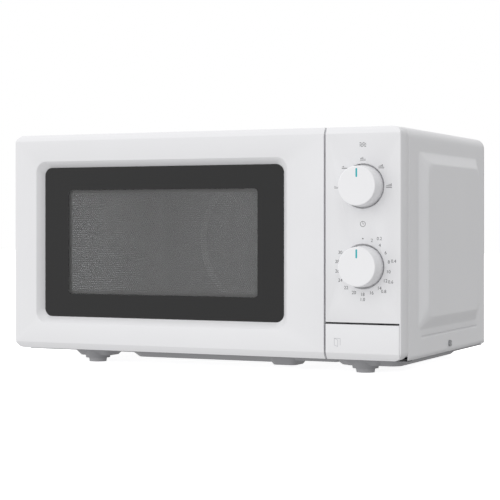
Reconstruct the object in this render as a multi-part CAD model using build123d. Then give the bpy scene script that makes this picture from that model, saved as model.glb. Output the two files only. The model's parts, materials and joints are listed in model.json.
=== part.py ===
"""Countertop microwave oven with two dials, as separate pieces in their closed, idle position.

Working frame, in millimetres: x from the middle of the front, y from the front face to the rear,
z from the table. On export the pieces move along y, so that the origin is under the middle of the box.
"""
from build123d import *
import math
import os

# Front: door, control panel and release button share one outline.
front_width = 440.0
front_bottom = 15.2
front_top = 243.8
front_depth = 22.3
front_corner = 9.0
front_edge_round = 1.2
least_corner = 3.0
bevel_height = 6.6
bevel_depth = 4.0
seam = 2.0
shell_wall = 2.5
panel_width = 78.4

# Door window, with sloped sides that run down to the glass.
window_left_margin = 27.0
window_right_margin = 39.2
window_bottom = 42.9
window_top_margin = 28.3
window_corner = 12.0
slope_width = 6.6
slope_depth = 7.5
glass_lip = 5.0
glass_thickness = 3.2
screen_thickness = 0.6
choke_wall = 0.8
choke_depth = 8.4
choke_margin_left = 14.0
choke_margin_right = 18.0
choke_margin_low = 11.0
choke_margin_high = 15.0
choke_band = 26.0
choke_slot_width = 5.0
choke_slot_pitch = 14.0
film_thickness = 0.5
film_corner = 4.0
trim_thickness = 1.4

# Pressed case, chassis plates and base.
case_inset = 1.0
case_front = 26.3
case_rear = 289.0
case_top_gap = 0.7
case_bottom = 14.2
case_wall = 0.8
case_edge_radius = 11.0
emboss_height = 7.0
emboss_slope = 12.0
emboss_front = 56.0
emboss_rear_margin = 29.0
emboss_low = 42.6
emboss_top_margin = 23.7
emboss_corner = 14.0
emboss_root = 4.0
slope_share = 0.6
top_emboss_height = 3.0
top_emboss_margin = 60.0
top_emboss_slope = 8.0
top_emboss_corner = 12.0
top_emboss_root = 2.0
groove_height = 3.0
groove_middle = 34.8
groove_depth = 1.5
groove_start = 10.0
notch_size = 3.5
case_screw_y = 158.0
case_screw_z = 22.6
screw_hole = 1.7
rear_screw_margin = 15.0
plate_thickness = 1.2
plate_gap = 1.7
plate_rim = 10.0
sheet_gap = 0.3
rear_plate_inset = 1.2
base_level = 12.4
base_sheet = 0.8
base_low = 7.0
base_slope = 6.0
base_rim = 12.0
zone_corner = 14.0
zone_front = 30.0
zone_rear_margin = 64.0
middle_zone_margins = (123.0, 122.0)
right_zone_margins = (84.0, 9.0)
shallow_zone_margins = (128.0, 76.0)
shallow_low = 9.6
shallow_slope = 3.0
shallow_length = 18.0
shallow_corner = 5.0
dimple_margins = (158.0, 121.0)
dimple_low = 4.2
dimple_length = 40.0
dimple_slope = 6.0
foot_zone_half = 23.0
foot_zone_slope = 5.0
foot_zone_corner = 9.0

# Feet, spacers and the mains lead's gland.
pad_radius = 9.75
pad_stem_radius = 4.0
pad_stem_gap = 0.2
boss_low = 4.2
boss_radius = 13.0
boss_slope = 1.5
spacer_length = 18.0
spacer_radius = 11.0
spacer_drop = 40.5
spacer_margin = 70.0
gland_radius = 8.0
gland_bore = 3.8
gland_margin = 40.0
gland_z = 40.0
foot_left_margin = 79.0
foot_right_margin = 52.0
foot_front = 42.0
foot_rear_margin = 53.0

# Oven cavity.
cavity_left_margin = 31.0
cavity_right_margin = 42.6
cavity_floor = 31.0
cavity_top_margin = 21.8
cavity_rear_margin = 14.0
cavity_wall = 0.8
cavity_corner = 14.0
cavity_rear_round = 12.0
dish_radius = 85.0
dish_depth = 5.0
dish_rise = 99.0
track_margin = 10.5
track_depth = 2.5

# Turntable.
tray_clearance = 2.4
tray_side_clearance = 8.0
tray_thickness = 4.5
tray_rim_height = 11.0
roller_margin = 28.5
roller_radius = 7.5
roller_width = 6.0
roller_pin_radius = 1.6
pin_gap = 0.05
ring_width = 7.0
ring_thickness = 3.0
coupler_radius = 15.0
coupler_shaft_radius = 3.0
soft_gap = 0.3

# Dials.
power_dial_drop = 58.3
dial_spacing = 37.3
knob_reach = 18.0
knob_base_radius = 20.6
knob_taper = 1.35
knob_ring_gap = 1.6
knob_pocket_depth = 4.0
knob_round = 1.0
knob_wall = 2.0
index_width = 1.8
index_length = 8.7
index_margin = 2.2
index_depth = 0.8
dial_shaft_radius = 3.0
dial_shaft_gap = 0.3
shaft_boss_radius = 6.0

# Door hinges.
hinge_axis_x_margin = 10.5
hinge_axis_y = 11.5
hinge_inset_z = 14.0
hinge_pin_radius = 2.5
hinge_pin_length = 16.0
hinge_tongue_radius = 6.0
hinge_tongue_thickness = 2.0
hinge_slot_gap = 0.7
hinge_swing_gap = 1.8
bush_wall = 1.5
running_gap = 0.06

# Latch: two hooks on one bar, lifted by a lever that the release button pushes.
button_height = 34.8
button_side_wall = 1.6
button_gap = 0.4
button_travel = 4.0
hook_margin = 6.0
hook_width = 7.0
hook_low_rise = 46.8
hook_high_drop = 55.8
hook_shank = 6.4
hook_drop = 3.0
hook_reach = 41.0
hook_tail = 48.0
hook_rest_gap = 0.4
bar_front = 7.0
bar_rear = 15.0
lever_y = 33.0
lever_drop = 13.0
lever_arm = 13.5
lever_radius = 3.0
lever_gap = 0.1
lever_arm_half = 2.0
push_gap = 0.3
pusher_radius = 3.2
nose_length = 5.0
nose_height = 1.6
latch_board_thickness = 6.0
spring_wire = 0.5
spring_seat_gap = 0.1
spring_turns = 6

# Electrical parts in the compartment beside the cavity.
timer_depth = 34.0
timer_half = 28.0
shaft_hold = 6.0
port_half_y = 42.0
port_half_z = 22.0
port_share = 0.623
port_offset = 10.0
antenna_offset = 2.0
waveguide_width = 22.0
waveguide_wall = 5.0
magnetron_radius = 19.0
magnetron_length = 62.0
yoke_half_y = 38.0
yoke_half_z = 38.0
yoke_sheet = 2.0
lamp_offset = 48.0
lamp_drop = 26.0
can_front = 62.0
can_thickness = 34.0
can_height = 52.0
can_margins = (98.0, 14.0)
clamp_offset = 36.0
clamp_width = 14.0
core_gap = 32.0
core_depth = 68.0
core_height = 65.0
core_margins = (100.0, 14.0)
winding_overhang = 11.0
fan_margin = 64.0
fan_drop = 104.5
fan_radius = 44.0
fan_ring_depth = 39.0
vent_half = 1.3
board_margins = (110.0, 24.0)
board_drops = (44.5, 6.5)


# ---- Values that follow from the sizes above ----
half_front = front_width / 2
door_right = half_front - panel_width - seam
panel_left = half_front - panel_width
dial_x = half_front - panel_width / 2
window_x0 = -half_front + window_left_margin
window_x1 = door_right - window_right_margin
window_top = front_top - window_top_margin
case_top = front_top + case_top_gap
emboss_rear = case_rear - emboss_rear_margin
emboss_high = case_top - emboss_top_margin
glass_x0 = window_x0 + slope_width
glass_x1 = window_x1 - slope_width
glass_z0 = window_bottom + slope_width
glass_z1 = window_top - slope_width
glass_rear = slope_depth + glass_thickness
plate_front = front_depth + plate_gap
plate_rear = plate_front + plate_thickness
board_rear = plate_rear + latch_board_thickness
case_half = half_front - case_inset
plate_half = case_half - case_wall - sheet_gap
plate_top = case_top - case_wall - sheet_gap
plate_corner = case_edge_radius - case_wall - sheet_gap
rear_front = case_rear - rear_plate_inset - case_wall
cavity_x0 = -half_front + cavity_left_margin
cavity_x1 = door_right - cavity_right_margin
cavity_x = (cavity_x0 + cavity_x1) / 2
cavity_top = front_top - cavity_top_margin
cavity_rear = case_rear - cavity_rear_margin
dish_height = cavity_floor + dish_rise
turntable_y = (plate_rear + cavity_rear) / 2
tray_radius = min(cavity_rear - turntable_y - tray_clearance, cavity_x1 - cavity_x - tray_side_clearance)
track_radius = tray_radius - track_margin
roller_circle = tray_radius - roller_margin
power_dial_z = front_top - power_dial_drop
timer_dial_z = power_dial_z - 2 * knob_base_radius - dial_spacing
hook_heights = (front_bottom + hook_low_rise, front_top - hook_high_drop)
base_top = base_level + base_sheet
hinge_x = -half_front + hinge_axis_x_margin
hinge_heights = (front_bottom + hinge_inset_z, front_top - hinge_inset_z)
hook_x1 = door_right - hook_margin
hook_x0 = hook_x1 - hook_width
button_top = front_bottom + button_height
lever_z = hook_heights[0] - hook_drop - lever_radius - hook_rest_gap - 2
roller_z = cavity_floor - track_depth + roller_radius + soft_gap
tray_low = roller_z + roller_radius + soft_gap
coupler_top = tray_low - soft_gap
motor_top = cavity_floor - track_depth - cavity_wall
rear_end = case_rear + spacer_length
middle_y = (rear_end - knob_reach) / 2
spacer_height = case_top - spacer_drop
spacer_spread = half_front - spacer_margin
gland_x = half_front - gland_margin
foot_spots = [(x, y) for y in (foot_front, case_rear - foot_rear_margin)
              for x in (-half_front + foot_left_margin, half_front - foot_right_margin)]
rear_screw_spots = [(x, z) for x in (-half_front + rear_screw_margin, half_front - rear_screw_margin)
                    for z in (case_bottom + 45.8, case_top - 49.5)]
pusher_spots = (panel_left + 9.5, half_front - 20.0)
choke_x0 = cavity_x0 - choke_margin_left
choke_x1 = cavity_x1 + choke_margin_right
choke_z0 = cavity_floor - choke_margin_low
choke_z1 = cavity_top + choke_margin_high
trim_x0 = hinge_x + 1.5
trim_x1 = door_right - shell_wall
trim_z0 = front_bottom + shell_wall
trim_z1 = front_top - shell_wall
slot_reach = hinge_tongue_radius + hinge_slot_gap
slot_half = hinge_tongue_thickness / 2 + hinge_slot_gap
knob_top_radius = knob_base_radius - knob_taper
knob_ring_radius = knob_base_radius + knob_ring_gap
timer_front = plate_rear
timer_rear = timer_front + timer_depth
port_middle = cavity_floor + port_share * (cavity_top - cavity_floor)
port_y = (turntable_y + port_offset - port_half_y, turntable_y + port_offset + port_half_y)
port_z = (port_middle - port_half_z, port_middle + port_half_z)
magnetron_y = turntable_y + port_offset + antenna_offset
magnetron_z = port_middle
lamp_y = port_y[0] - lamp_offset
lamp_z = cavity_top - lamp_drop
guide_x1 = cavity_x1 + cavity_wall + waveguide_width
can_x = (half_front - can_margins[0], half_front - can_margins[1])
can_y = (can_front, can_front + can_thickness)
clamp_x = (can_x[0] + clamp_offset, can_x[0] + clamp_offset + clamp_width)
core_x = (half_front - core_margins[0], half_front - core_margins[1])
core_y = (can_y[1] + core_gap, can_y[1] + core_gap + core_depth)
core_z = (base_top + 1.5, base_top + 1.5 + core_height)
fan_x = half_front - fan_margin
fan_z = case_top - fan_drop
ring_front = case_rear - fan_ring_depth
blade_y = (ring_front + 2, ring_front + 18)
board_x = (half_front - board_margins[0], half_front - board_margins[1])
board_z = (case_top - board_drops[0], case_top - board_drops[1])


# ---- Small shape helpers ----
def slab(x0, x1, y0, y1, z0, z1):
    """A block between two corners."""
    return Pos((x0 + x1) / 2, (y0 + y1) / 2, (z0 + z1) / 2) * Box(x1 - x0, y1 - y0, z1 - z0)


def rod_x(y, z, radius, x0, x1):
    return Pos((x0 + x1) / 2, y, z) * Rot(0, 90, 0) * Cylinder(radius, x1 - x0)


def rod_y(x, z, radius, y0, y1):
    return Pos(x, (y0 + y1) / 2, z) * Rot(90, 0, 0) * Cylinder(radius, y1 - y0)


def rod_z(x, y, radius, z0, z1):
    return Pos(x, y, (z0 + z1) / 2) * Cylinder(radius, z1 - z0)


def cone_y(x, z, front_radius, rear_radius, y0, y1):
    """A cone along y, with its own radius at each end."""
    return Pos(x, (y0 + y1) / 2, z) * Rot(-90, 0, 0) * Cone(front_radius, rear_radius, y1 - y0)


def cone_z(x, y, low_radius, high_radius, z0, z1):
    return Pos(x, y, (z0 + z1) / 2) * Cone(low_radius, high_radius, z1 - z0)


def outline_xz(x0, x1, z0, z1, radius, y):
    """A rounded rectangle that faces along y."""
    plane = Plane(origin=((x0 + x1) / 2, y, (z0 + z1) / 2), x_dir=(1, 0, 0), z_dir=(0, 1, 0))
    return plane * RectangleRounded(x1 - x0, z1 - z0, radius)


def outline_yz(y0, y1, z0, z1, radius, x):
    plane = Plane(origin=(x, (y0 + y1) / 2, (z0 + z1) / 2), x_dir=(0, 1, 0), z_dir=(1, 0, 0))
    return plane * RectangleRounded(y1 - y0, z1 - z0, radius)


def outline_xy(x0, x1, y0, y1, radius, z):
    plane = Plane(origin=((x0 + x1) / 2, (y0 + y1) / 2, z), x_dir=(1, 0, 0), z_dir=(0, 0, 1))
    return plane * RectangleRounded(x1 - x0, y1 - y0, radius)


def plate_xz(x0, x1, z0, z1, radius, y0, y1):
    return extrude(outline_xz(x0, x1, z0, z1, radius, y0), amount=y1 - y0)


def plate_yz(y0, y1, z0, z1, radius, x0, x1):
    return extrude(outline_yz(y0, y1, z0, z1, radius, x0), amount=x1 - x0)


def plate_xy(x0, x1, y0, y1, radius, z0, z1):
    return extrude(outline_xy(x0, x1, y0, y1, radius, z0), amount=z1 - z0)


def frame_xz(x0, x1, z0, z1, radius, wall, y0, y1):
    """A flat ring that faces along y, with the same wall all round."""
    corner = max(radius - wall, least_corner)
    inner = plate_xz(x0 + wall, x1 - wall, z0 + wall, z1 - wall, corner, y0 - 1, y1 + 1)
    return plate_xz(x0, x1, z0, z1, radius, y0, y1) - inner


def holes_yz(ys, zs, radius, x0, x1):
    """A field of round holes through a side wall."""
    return [rod_x(y, z, radius, x0, x1) for y in ys for z in zs]


def spread(start, pitch, count):
    return [start + pitch * step for step in range(count)]


def coil(radius, wire, length, turns):
    """A spring wound along z, from the origin."""
    helix = Helix(pitch=length / turns, height=length, radius=radius)
    section = Plane(origin=helix @ 0, z_dir=helix % 0) * Circle(wire)
    return sweep(section, path=helix)


def screw_y(x, z, y, toward, head_radius=3.4, shank_radius=1.5, shank=7.0):
    """A pan-head screw along y whose head sits on the surface at y."""
    head = rod_y(x, z, head_radius, min(y, y - toward * 2), max(y, y - toward * 2))
    body = rod_y(x, z, shank_radius, min(y, y + toward * shank), max(y, y + toward * shank))
    slot = slab(x - head_radius, x + head_radius, min(y - toward * 1.2, y - toward * 3),
                max(y - toward * 1.2, y - toward * 3), z - 0.5, z + 0.5)
    return head + body - slot


def screw_x(y, z, x, toward, head_radius=3.4, shank_radius=1.5, shank=7.0):
    """A pan-head screw along x whose head sits on the surface at x."""
    head = rod_x(y, z, head_radius, min(x, x - toward * 2), max(x, x - toward * 2))
    body = rod_x(y, z, shank_radius, min(x, x + toward * shank), max(x, x + toward * shank))
    slot = slab(min(x - toward * 1.2, x - toward * 3), max(x - toward * 1.2, x - toward * 3),
                y - head_radius, y + head_radius, z - 0.5, z + 0.5)
    return head + body - slot


# ---- Front outline, shared by door, panel and button ----
def front_body():
    """The whole front as one block, with its top and bottom bevels and rounded corners."""
    profile = Polyline(
        (0, front_bottom + bevel_height),
        (bevel_depth, front_bottom),
        (front_depth, front_bottom),
        (front_depth, front_top),
        (bevel_depth, front_top),
        (0, front_top - bevel_height),
        close=True,
    )
    face = Plane.YZ.offset(-half_front) * make_face(profile)
    block = extrude(face, amount=front_width)
    block = block & plate_xz(-half_front, half_front, front_bottom, front_top, front_corner, -1,
                             front_depth + 1)
    edges = block.edges().filter_by(Axis.Z).group_by(Axis.Y)[0]
    return fillet(edges, front_edge_round)


# ---- Door ----
def hinge_block(z):
    """Solid stock in the door round one hinge."""
    x1 = choke_x0 - 0.6
    return slab(-half_front + 1, x1, shell_wall, front_depth - trim_thickness, z - 13, z + 13)


def make_door_frame(front):
    door = front & slab(-half_front - 1, door_right, -1, front_depth + 1, 0, front_top + 1)
    rear_edge = door.edges().filter_by(Axis.Z).group_by(Axis.Y)[-1].sort_by(Axis.X)[0]
    door = fillet(rear_edge, hinge_axis_x_margin - 0.3)
    whole = door
    slope = loft([outline_xz(window_x0, window_x1, window_bottom, window_top, window_corner, 0),
                  outline_xz(glass_x0, glass_x1, glass_z0, glass_z1, window_corner - slope_width / 2,
                             slope_depth)], ruled=True)
    through = plate_xz(glass_x0, glass_x1, glass_z0, glass_z1, window_corner - slope_width / 2,
                       slope_depth - 0.5, front_depth + 1)
    glass_pocket = plate_xz(glass_x0 - glass_lip, glass_x1 + glass_lip, glass_z0 - glass_lip,
                            glass_z1 + glass_lip, window_corner, slope_depth, front_depth + 1)
    inner = slab(trim_x0, trim_x1, glass_rear, front_depth + 1,
                 front_bottom + shell_wall, front_top - shell_wall)
    margin_x = -half_front + shell_wall
    ring = slab(margin_x, door_right - shell_wall, shell_wall, glass_rear + 1,
                front_bottom + bevel_height, front_top - bevel_height)
    ring -= slab(window_x0 - shell_wall, window_x1 + shell_wall, 0, glass_rear + 2,
                 window_bottom - shell_wall, window_top + shell_wall)
    door = door - slope - through - glass_pocket - inner - ring
    for z in hinge_heights:
        door = door + (whole & hinge_block(z))
    for z in hinge_heights:
        door -= slab(-half_front - 1, hinge_x + slot_reach,
                     hinge_axis_y - hinge_tongue_radius - hinge_swing_gap, front_depth + 1,
                     z - slot_half, z + slot_half)
        bore = hinge_pin_radius + running_gap + bush_wall
        door -= rod_z(hinge_x, hinge_axis_y, bore, z - hinge_pin_length / 2 - 1, z + hinge_pin_length / 2 + 1)
    return door


def make_hinge_bushes():
    """Nylon bushes above and below each hinge tongue."""
    bushes = []
    inner = hinge_pin_radius + running_gap
    for z in hinge_heights:
        for side in (-1, 1):
            near = z + side * (hinge_tongue_thickness / 2 + hinge_slot_gap)
            far = z + side * (hinge_pin_length / 2 + 1)
            low, high = min(near, far), max(near, far)
            bush = rod_z(hinge_x, hinge_axis_y, inner + bush_wall, low, high)
            bushes.append(bush - rod_z(hinge_x, hinge_axis_y, inner, low - 1, high + 1))
    return bushes


def make_hinges():
    """Steel tongues on the front plate, each with a pin through it."""
    hinges = []
    for z in hinge_heights:
        half = hinge_tongue_thickness / 2
        tongue = rod_z(hinge_x, hinge_axis_y, hinge_tongue_radius, z - half, z + half)
        tongue += slab(hinge_x - hinge_tongue_radius, hinge_x + hinge_tongue_radius, hinge_axis_y,
                       plate_rear, z - half, z + half)
        toward = -1 if z > front_top / 2 else 1
        flange_z = sorted((z - toward * 6, z + toward * 18))
        tongue += slab(hinge_x - hinge_tongue_radius, hinge_x + hinge_tongue_radius, plate_rear,
                       plate_rear + 2, flange_z[0], flange_z[1])
        tongue += rod_z(hinge_x, hinge_axis_y, hinge_pin_radius,
                        z - hinge_pin_length / 2, z + hinge_pin_length / 2)
        hinges.append(tongue)
    return hinges


def make_glass():
    lip = glass_lip - 0.3
    return plate_xz(glass_x0 - lip, glass_x1 + lip, glass_z0 - lip, glass_z1 + lip,
                    window_corner, slope_depth, glass_rear)


def make_screen():
    """Steel sheet behind the glass, whose middle is perforated."""
    return plate_xz(choke_x0 + 3, choke_x1 - 3, choke_z0 + 3, choke_z1 - 3, 4, glass_rear,
                    glass_rear + screen_thickness)


def make_choke():
    """Folded steel frame round the screen, slotted all round, that keeps the waves in."""
    back = glass_rear + screen_thickness
    floor = frame_xz(choke_x0, choke_x1, choke_z0, choke_z1, 5, choke_band, back, back + choke_wall)
    wall = frame_xz(choke_x0, choke_x1, choke_z0, choke_z1, 5, choke_wall, back, back + choke_depth)
    inset = choke_band - choke_wall
    inner = frame_xz(choke_x0 + inset, choke_x1 - inset, choke_z0 + inset, choke_z1 - inset,
                     least_corner + choke_wall, choke_wall, back, back + choke_depth)
    choke = floor + wall + inner
    half = choke_slot_width / 2
    count = int((choke_x1 - choke_x0 - 40) / choke_slot_pitch)
    start = (choke_x0 + choke_x1) / 2 - choke_slot_pitch * (count - 1) / 2
    cuts = [slab(x - half, x + half, back + 3, front_depth, choke_z0 - 1, choke_z1 + 1)
            for x in spread(start, choke_slot_pitch, count)]
    middle = slab(choke_x0 + 4, choke_x1 - 4, back + 2, front_depth, choke_z0 + 4, choke_z1 - 4)
    return choke - [cut - middle for cut in cuts]


def make_door_trim():
    """Plastic cover over the choke, on the door's inner face."""
    y0 = front_depth - trim_thickness
    trim = slab(trim_x0 + sheet_gap, trim_x1 - sheet_gap, y0, front_depth,
                trim_z0 + sheet_gap, trim_z1 - sheet_gap)
    trim -= plate_xz(choke_x0 + choke_band, choke_x1 - choke_band, choke_z0 + choke_band,
                     choke_z1 - choke_band, film_corner, y0 - 1, front_depth + 1)
    for z in hinge_heights:
        trim -= slab(-half_front, hinge_x + slot_reach, y0 - 1, front_depth + 1, z - slot_half, z + slot_half)
    for low in hook_heights:
        trim -= slab(hook_x0 - 1, hook_x1 + 1, y0 - 1, front_depth + 1,
                     low - hook_drop - 1, low + hook_shank + button_travel + 1)
    return trim


def make_inner_film():
    inset = choke_band + sheet_gap
    y1 = front_depth - trim_thickness + film_thickness
    return plate_xz(choke_x0 + inset, choke_x1 - inset, choke_z0 + inset, choke_z1 - inset,
                    film_corner, y1 - film_thickness, y1)


# ---- Latch ----
def make_hooks():
    """One bar in the door with an upper and a lower hook that reach into the cabinet."""
    bar = slab(hook_x0, hook_x1, bar_front, bar_rear, hook_heights[0] - 4, hook_heights[1] + 10)
    for low in hook_heights:
        tail = hook_tail if low == hook_heights[0] else hook_reach
        bar += slab(hook_x0, hook_x1, bar_rear - 1, tail, low, low + hook_shank)
        barb = slab(hook_x0, hook_x1, board_rear + 0.4, hook_reach, low - hook_drop, low + 0.1)
        heel = hook_reach - 1.5 * hook_drop
        ramp = Plane.YZ.offset(hook_x0 - 1) * make_face(Polyline(
            (hook_reach + 0.1, low - hook_drop - 1), (hook_reach + 0.1, low),
            (heel, low - hook_drop), (heel, low - hook_drop - 1), close=True))
        barb -= extrude(ramp, amount=hook_width + 2)
        bar += barb
    return bar


def make_hook_guide():
    """Ribbed guide in the door that the hook bar slides in, with a seat for its spring."""
    top = hook_heights[1] + 10 + button_travel + 16
    wall = 2.0
    outer = slab(hook_x0 - wall - 0.3, hook_x1 + wall + 0.3, shell_wall, bar_rear + 1,
                 top - 34, top)
    return outer - slab(hook_x0 - 0.3, hook_x1 + 0.3, bar_front - 0.3, bar_rear + 2, 0, top - 3)


def make_hook_spring():
    top = hook_heights[1] + 10
    end = spring_wire + spring_seat_gap
    length = button_travel + 16 - 3 - 2 * end
    spring = coil(2.6, spring_wire, length, spring_turns)
    return Pos((hook_x0 + hook_x1) / 2, (bar_front + bar_rear) / 2, top + end) * spring


def make_latch_board():
    """Plastic board behind the front plate, with the ledges that the hooks catch on."""
    x0, x1 = hook_x0 - 9, hook_x1 + 8
    board = slab(x0, x1, plate_rear, board_rear, hook_heights[0] - 12, hook_heights[1] + 24)
    for low in hook_heights:
        board -= slab(hook_x0 - 1, hook_x1 + 1, plate_rear - 1, board_rear + 1,
                      low - hook_rest_gap, low + hook_shank + button_travel + 1.5)
    cheek_low = lever_z - 7
    for x in (x0, x1 - 2.5):
        cheek = slab(x, x + 2.5, plate_rear, lever_y + 5.5, cheek_low, hook_heights[0] - 12)
        board += cheek
    board -= rod_x(lever_y, lever_z, lever_radius + lever_gap, x0 - 1, x1 + 1)
    board -= slab(x0 + 2.5, x1 - 2.5, plate_rear - 1, board_rear + 1, cheek_low - 1,
                  lever_z + lever_radius + lever_gap)
    return board


def make_lever():
    """Rocker that turns the button's push into the hooks' lift."""
    x1 = panel_left + 14
    lever = rod_x(lever_y, lever_z, lever_radius, hook_x0 - 10, x1)
    lever += slab(panel_left + 5, x1, lever_y - lever_arm_half, lever_y + lever_arm_half,
                  lever_z - lever_drop - 3, lever_z)
    arm_end = lever_y + lever_arm
    arm_top = hook_heights[0] - hook_rest_gap
    lever += slab(hook_x0 + 0.5, hook_x1 - 0.5, lever_y, arm_end, lever_z - 2, lever_z + 2)
    lever += slab(hook_x0 + 0.5, hook_x1 - 0.5, arm_end - 3.5, arm_end, lever_z - 2, arm_top)
    return lever


def make_button(front):
    x1 = half_front - button_side_wall - button_gap
    button = front & slab(panel_left, x1, -1, front_depth - 3, 0, button_top)
    button -= slab(panel_left + shell_wall, x1 - shell_wall, shell_wall, front_depth,
                   front_bottom + bevel_height, button_top - shell_wall)
    z = lever_z - lever_drop
    shoulder = lever_y - lever_arm_half - push_gap - nose_length
    for x in pusher_spots:
        button += rod_y(x, z, pusher_radius, shell_wall - 1, shoulder)
    nose = nose_height / 2
    button += slab(pusher_spots[0] - pusher_radius, pusher_spots[0] + pusher_radius, shoulder - 1,
                   shoulder + nose_length, z - nose, z + nose)
    return button


def make_button_springs():
    end = spring_wire + spring_seat_gap
    springs = []
    for x in pusher_spots:
        spring = coil(4.6, spring_wire, plate_front - shell_wall - 2 * end, spring_turns)
        springs.append(Pos(x, shell_wall + end, lever_z - lever_drop) * Rot(-90, 0, 0) * spring)
    return springs


def make_microswitches():
    """Three door switches: two by the hooks, one by the lever."""
    switches = []
    x0 = hook_x1 + 8.3
    for low in (hook_heights[0] + 2, hook_heights[1] - 18, hook_heights[1] + 2):
        body = slab(x0, x0 + 10, plate_rear, plate_rear + 28, low, low + 16)
        terminals = [slab(x0 + 3, x0 + 7, plate_rear + 28, plate_rear + 34, low + 2 + 5 * step,
                          low + 3 + 5 * step) for step in range(3)]
        for terminal in terminals:
            body += terminal
        switches.append(body)
    return switches


# ---- Control panel and dials ----
def make_panel(front):
    panel = front & slab(panel_left, half_front + 1, -1, front_depth + 1, 0, front_top + 1)
    x1 = half_front - button_side_wall
    panel -= slab(panel_left - 1, x1, -2, front_depth + 2, 0, button_top + seam)
    panel -= slab(panel_left + shell_wall, half_front - shell_wall, shell_wall, front_depth + 1,
                  button_top + seam + shell_wall, front_top - bevel_height)
    for z in (power_dial_z, timer_dial_z):
        cup = rod_y(dial_x, z, knob_ring_radius + 1.8, shell_wall - 0.5, knob_pocket_depth + 1.8)
        panel += cup
        panel -= rod_y(dial_x, z, knob_ring_radius, -1, knob_pocket_depth)
        panel -= rod_y(dial_x, z, dial_shaft_radius + dial_shaft_gap, 0, front_depth)
    for x in (panel_left + 8, half_front - 8):
        for z in (button_top + 12, front_top - 14):
            post = rod_y(x, z, 3.6, shell_wall - 0.5, plate_front)
            panel += post - rod_y(x, z, 1.4, front_depth - 10, plate_front + 1)
    return panel


def make_knob(z):
    knob = cone_y(dial_x, z, knob_top_radius, knob_base_radius, -knob_reach, knob_pocket_depth - 1.0)
    rim = knob.edges().filter_by(GeomType.CIRCLE).sort_by(Axis.Y)[0]
    knob = fillet(rim, knob_round)
    knob -= rod_y(dial_x, z, knob_top_radius - knob_wall, -knob_reach + 2.5, knob_pocket_depth)
    knob += rod_y(dial_x, z, shaft_boss_radius, -knob_reach + 2, knob_pocket_depth - 2)
    knob -= rod_y(dial_x, z, dial_shaft_radius, -knob_reach + 4, knob_pocket_depth)
    return knob - index_cut(z)


def index_cut(z):
    top = z + knob_top_radius - index_margin
    return plate_xz(dial_x - index_width / 2, dial_x + index_width / 2, top - index_length, top,
                    index_width / 2 - 0.05, -knob_reach - 0.01, -knob_reach + index_depth)


def make_index(z):
    top = z + knob_top_radius - index_margin
    return plate_xz(dial_x - index_width / 2, dial_x + index_width / 2, top - index_length, top,
                    index_width / 2 - 0.05, -knob_reach, -knob_reach + index_depth)


def make_dial_shaft(z):
    """Metal shaft from the knob to the switch gear."""
    return rod_y(dial_x, z, dial_shaft_radius, -knob_reach + 4, timer_front + shaft_hold)


def make_timer_unit():
    """Clockwork and cam gear in one housing, carried by the front plate."""
    body = slab(dial_x - timer_half, dial_x + timer_half, timer_front, timer_rear,
                timer_dial_z - 26, power_dial_z + 18)
    for z in (power_dial_z, timer_dial_z):
        body -= rod_y(dial_x, z, dial_shaft_radius + running_gap, timer_front - 1,
                      timer_front + shaft_hold + soft_gap)
    return body


def make_timer_motor():
    motor = rod_y(dial_x, timer_dial_z + 2, 21, timer_rear, timer_rear + 13)
    motor += rod_y(dial_x, timer_dial_z + 2, 6, timer_rear + 13, timer_rear + 15)
    return motor


def make_timer_bell():
    bell = rod_y(dial_x, power_dial_z - 6, 19, timer_rear + 5, timer_rear + 14)
    bell = fillet(bell.edges().filter_by(GeomType.CIRCLE).sort_by(Axis.Y)[-1], 4)
    bell -= rod_y(dial_x, power_dial_z - 6, 17.6, timer_rear + 4, timer_rear + 10)
    bell += rod_y(dial_x, power_dial_z - 6, 2.5, timer_rear, timer_rear + 13)
    return bell


# ---- Chassis ----
def make_front_plate():
    low = front_bottom + 0.8
    plate = plate_xz(-plate_half, plate_half, low, plate_top, plate_corner, plate_front, plate_rear)
    plate += frame_xz(-plate_half, plate_half, low, plate_top, plate_corner,
                      plate_thickness, plate_rear, plate_rear + plate_rim)
    plate -= plate_xz(cavity_x0, cavity_x1, cavity_floor, cavity_top, cavity_corner,
                      plate_front - 1, plate_rear + 1)
    for z in (power_dial_z, timer_dial_z):
        plate -= rod_y(dial_x, z, dial_shaft_radius + 2, plate_front - 1, plate_rear + 1)
    for hook_z in hook_heights:
        plate -= slab(hook_x0 - 1.5, hook_x1 + 1.5, plate_front - 1, plate_rear + 1,
                      hook_z - hook_drop - 1, hook_z + hook_shank + button_travel + 2)
    for x in pusher_spots:
        plate -= rod_y(x, lever_z - lever_drop, pusher_radius + 0.6, plate_front - 1, plate_rear + 1)
    for z in hinge_heights:
        half = hinge_tongue_thickness / 2
        plate -= slab(hinge_x - hinge_tongue_radius, hinge_x + hinge_tongue_radius,
                      plate_front - 1, plate_rear + 1, z - half, z + half)
    return plate


def side_emboss(side, inward):
    """Raised field on one side. inward shrinks it to the inner face of the sheet."""
    shrink = inward * slope_share
    grow = emboss_slope * emboss_root / emboss_height
    x_base = side * (case_half - inward - emboss_root)
    x_face = side * (case_half - inward + emboss_height)
    base = outline_yz(emboss_front - grow + shrink, emboss_rear + grow - shrink,
                      emboss_low - grow + shrink, emboss_high + grow - shrink, 6 + grow, x_base)
    slope = emboss_slope
    face = outline_yz(emboss_front + slope + shrink, emboss_rear - slope - shrink,
                      emboss_low + slope + shrink, emboss_high - slope - shrink, emboss_corner, x_face)
    return loft([base, face], ruled=True)


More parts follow.
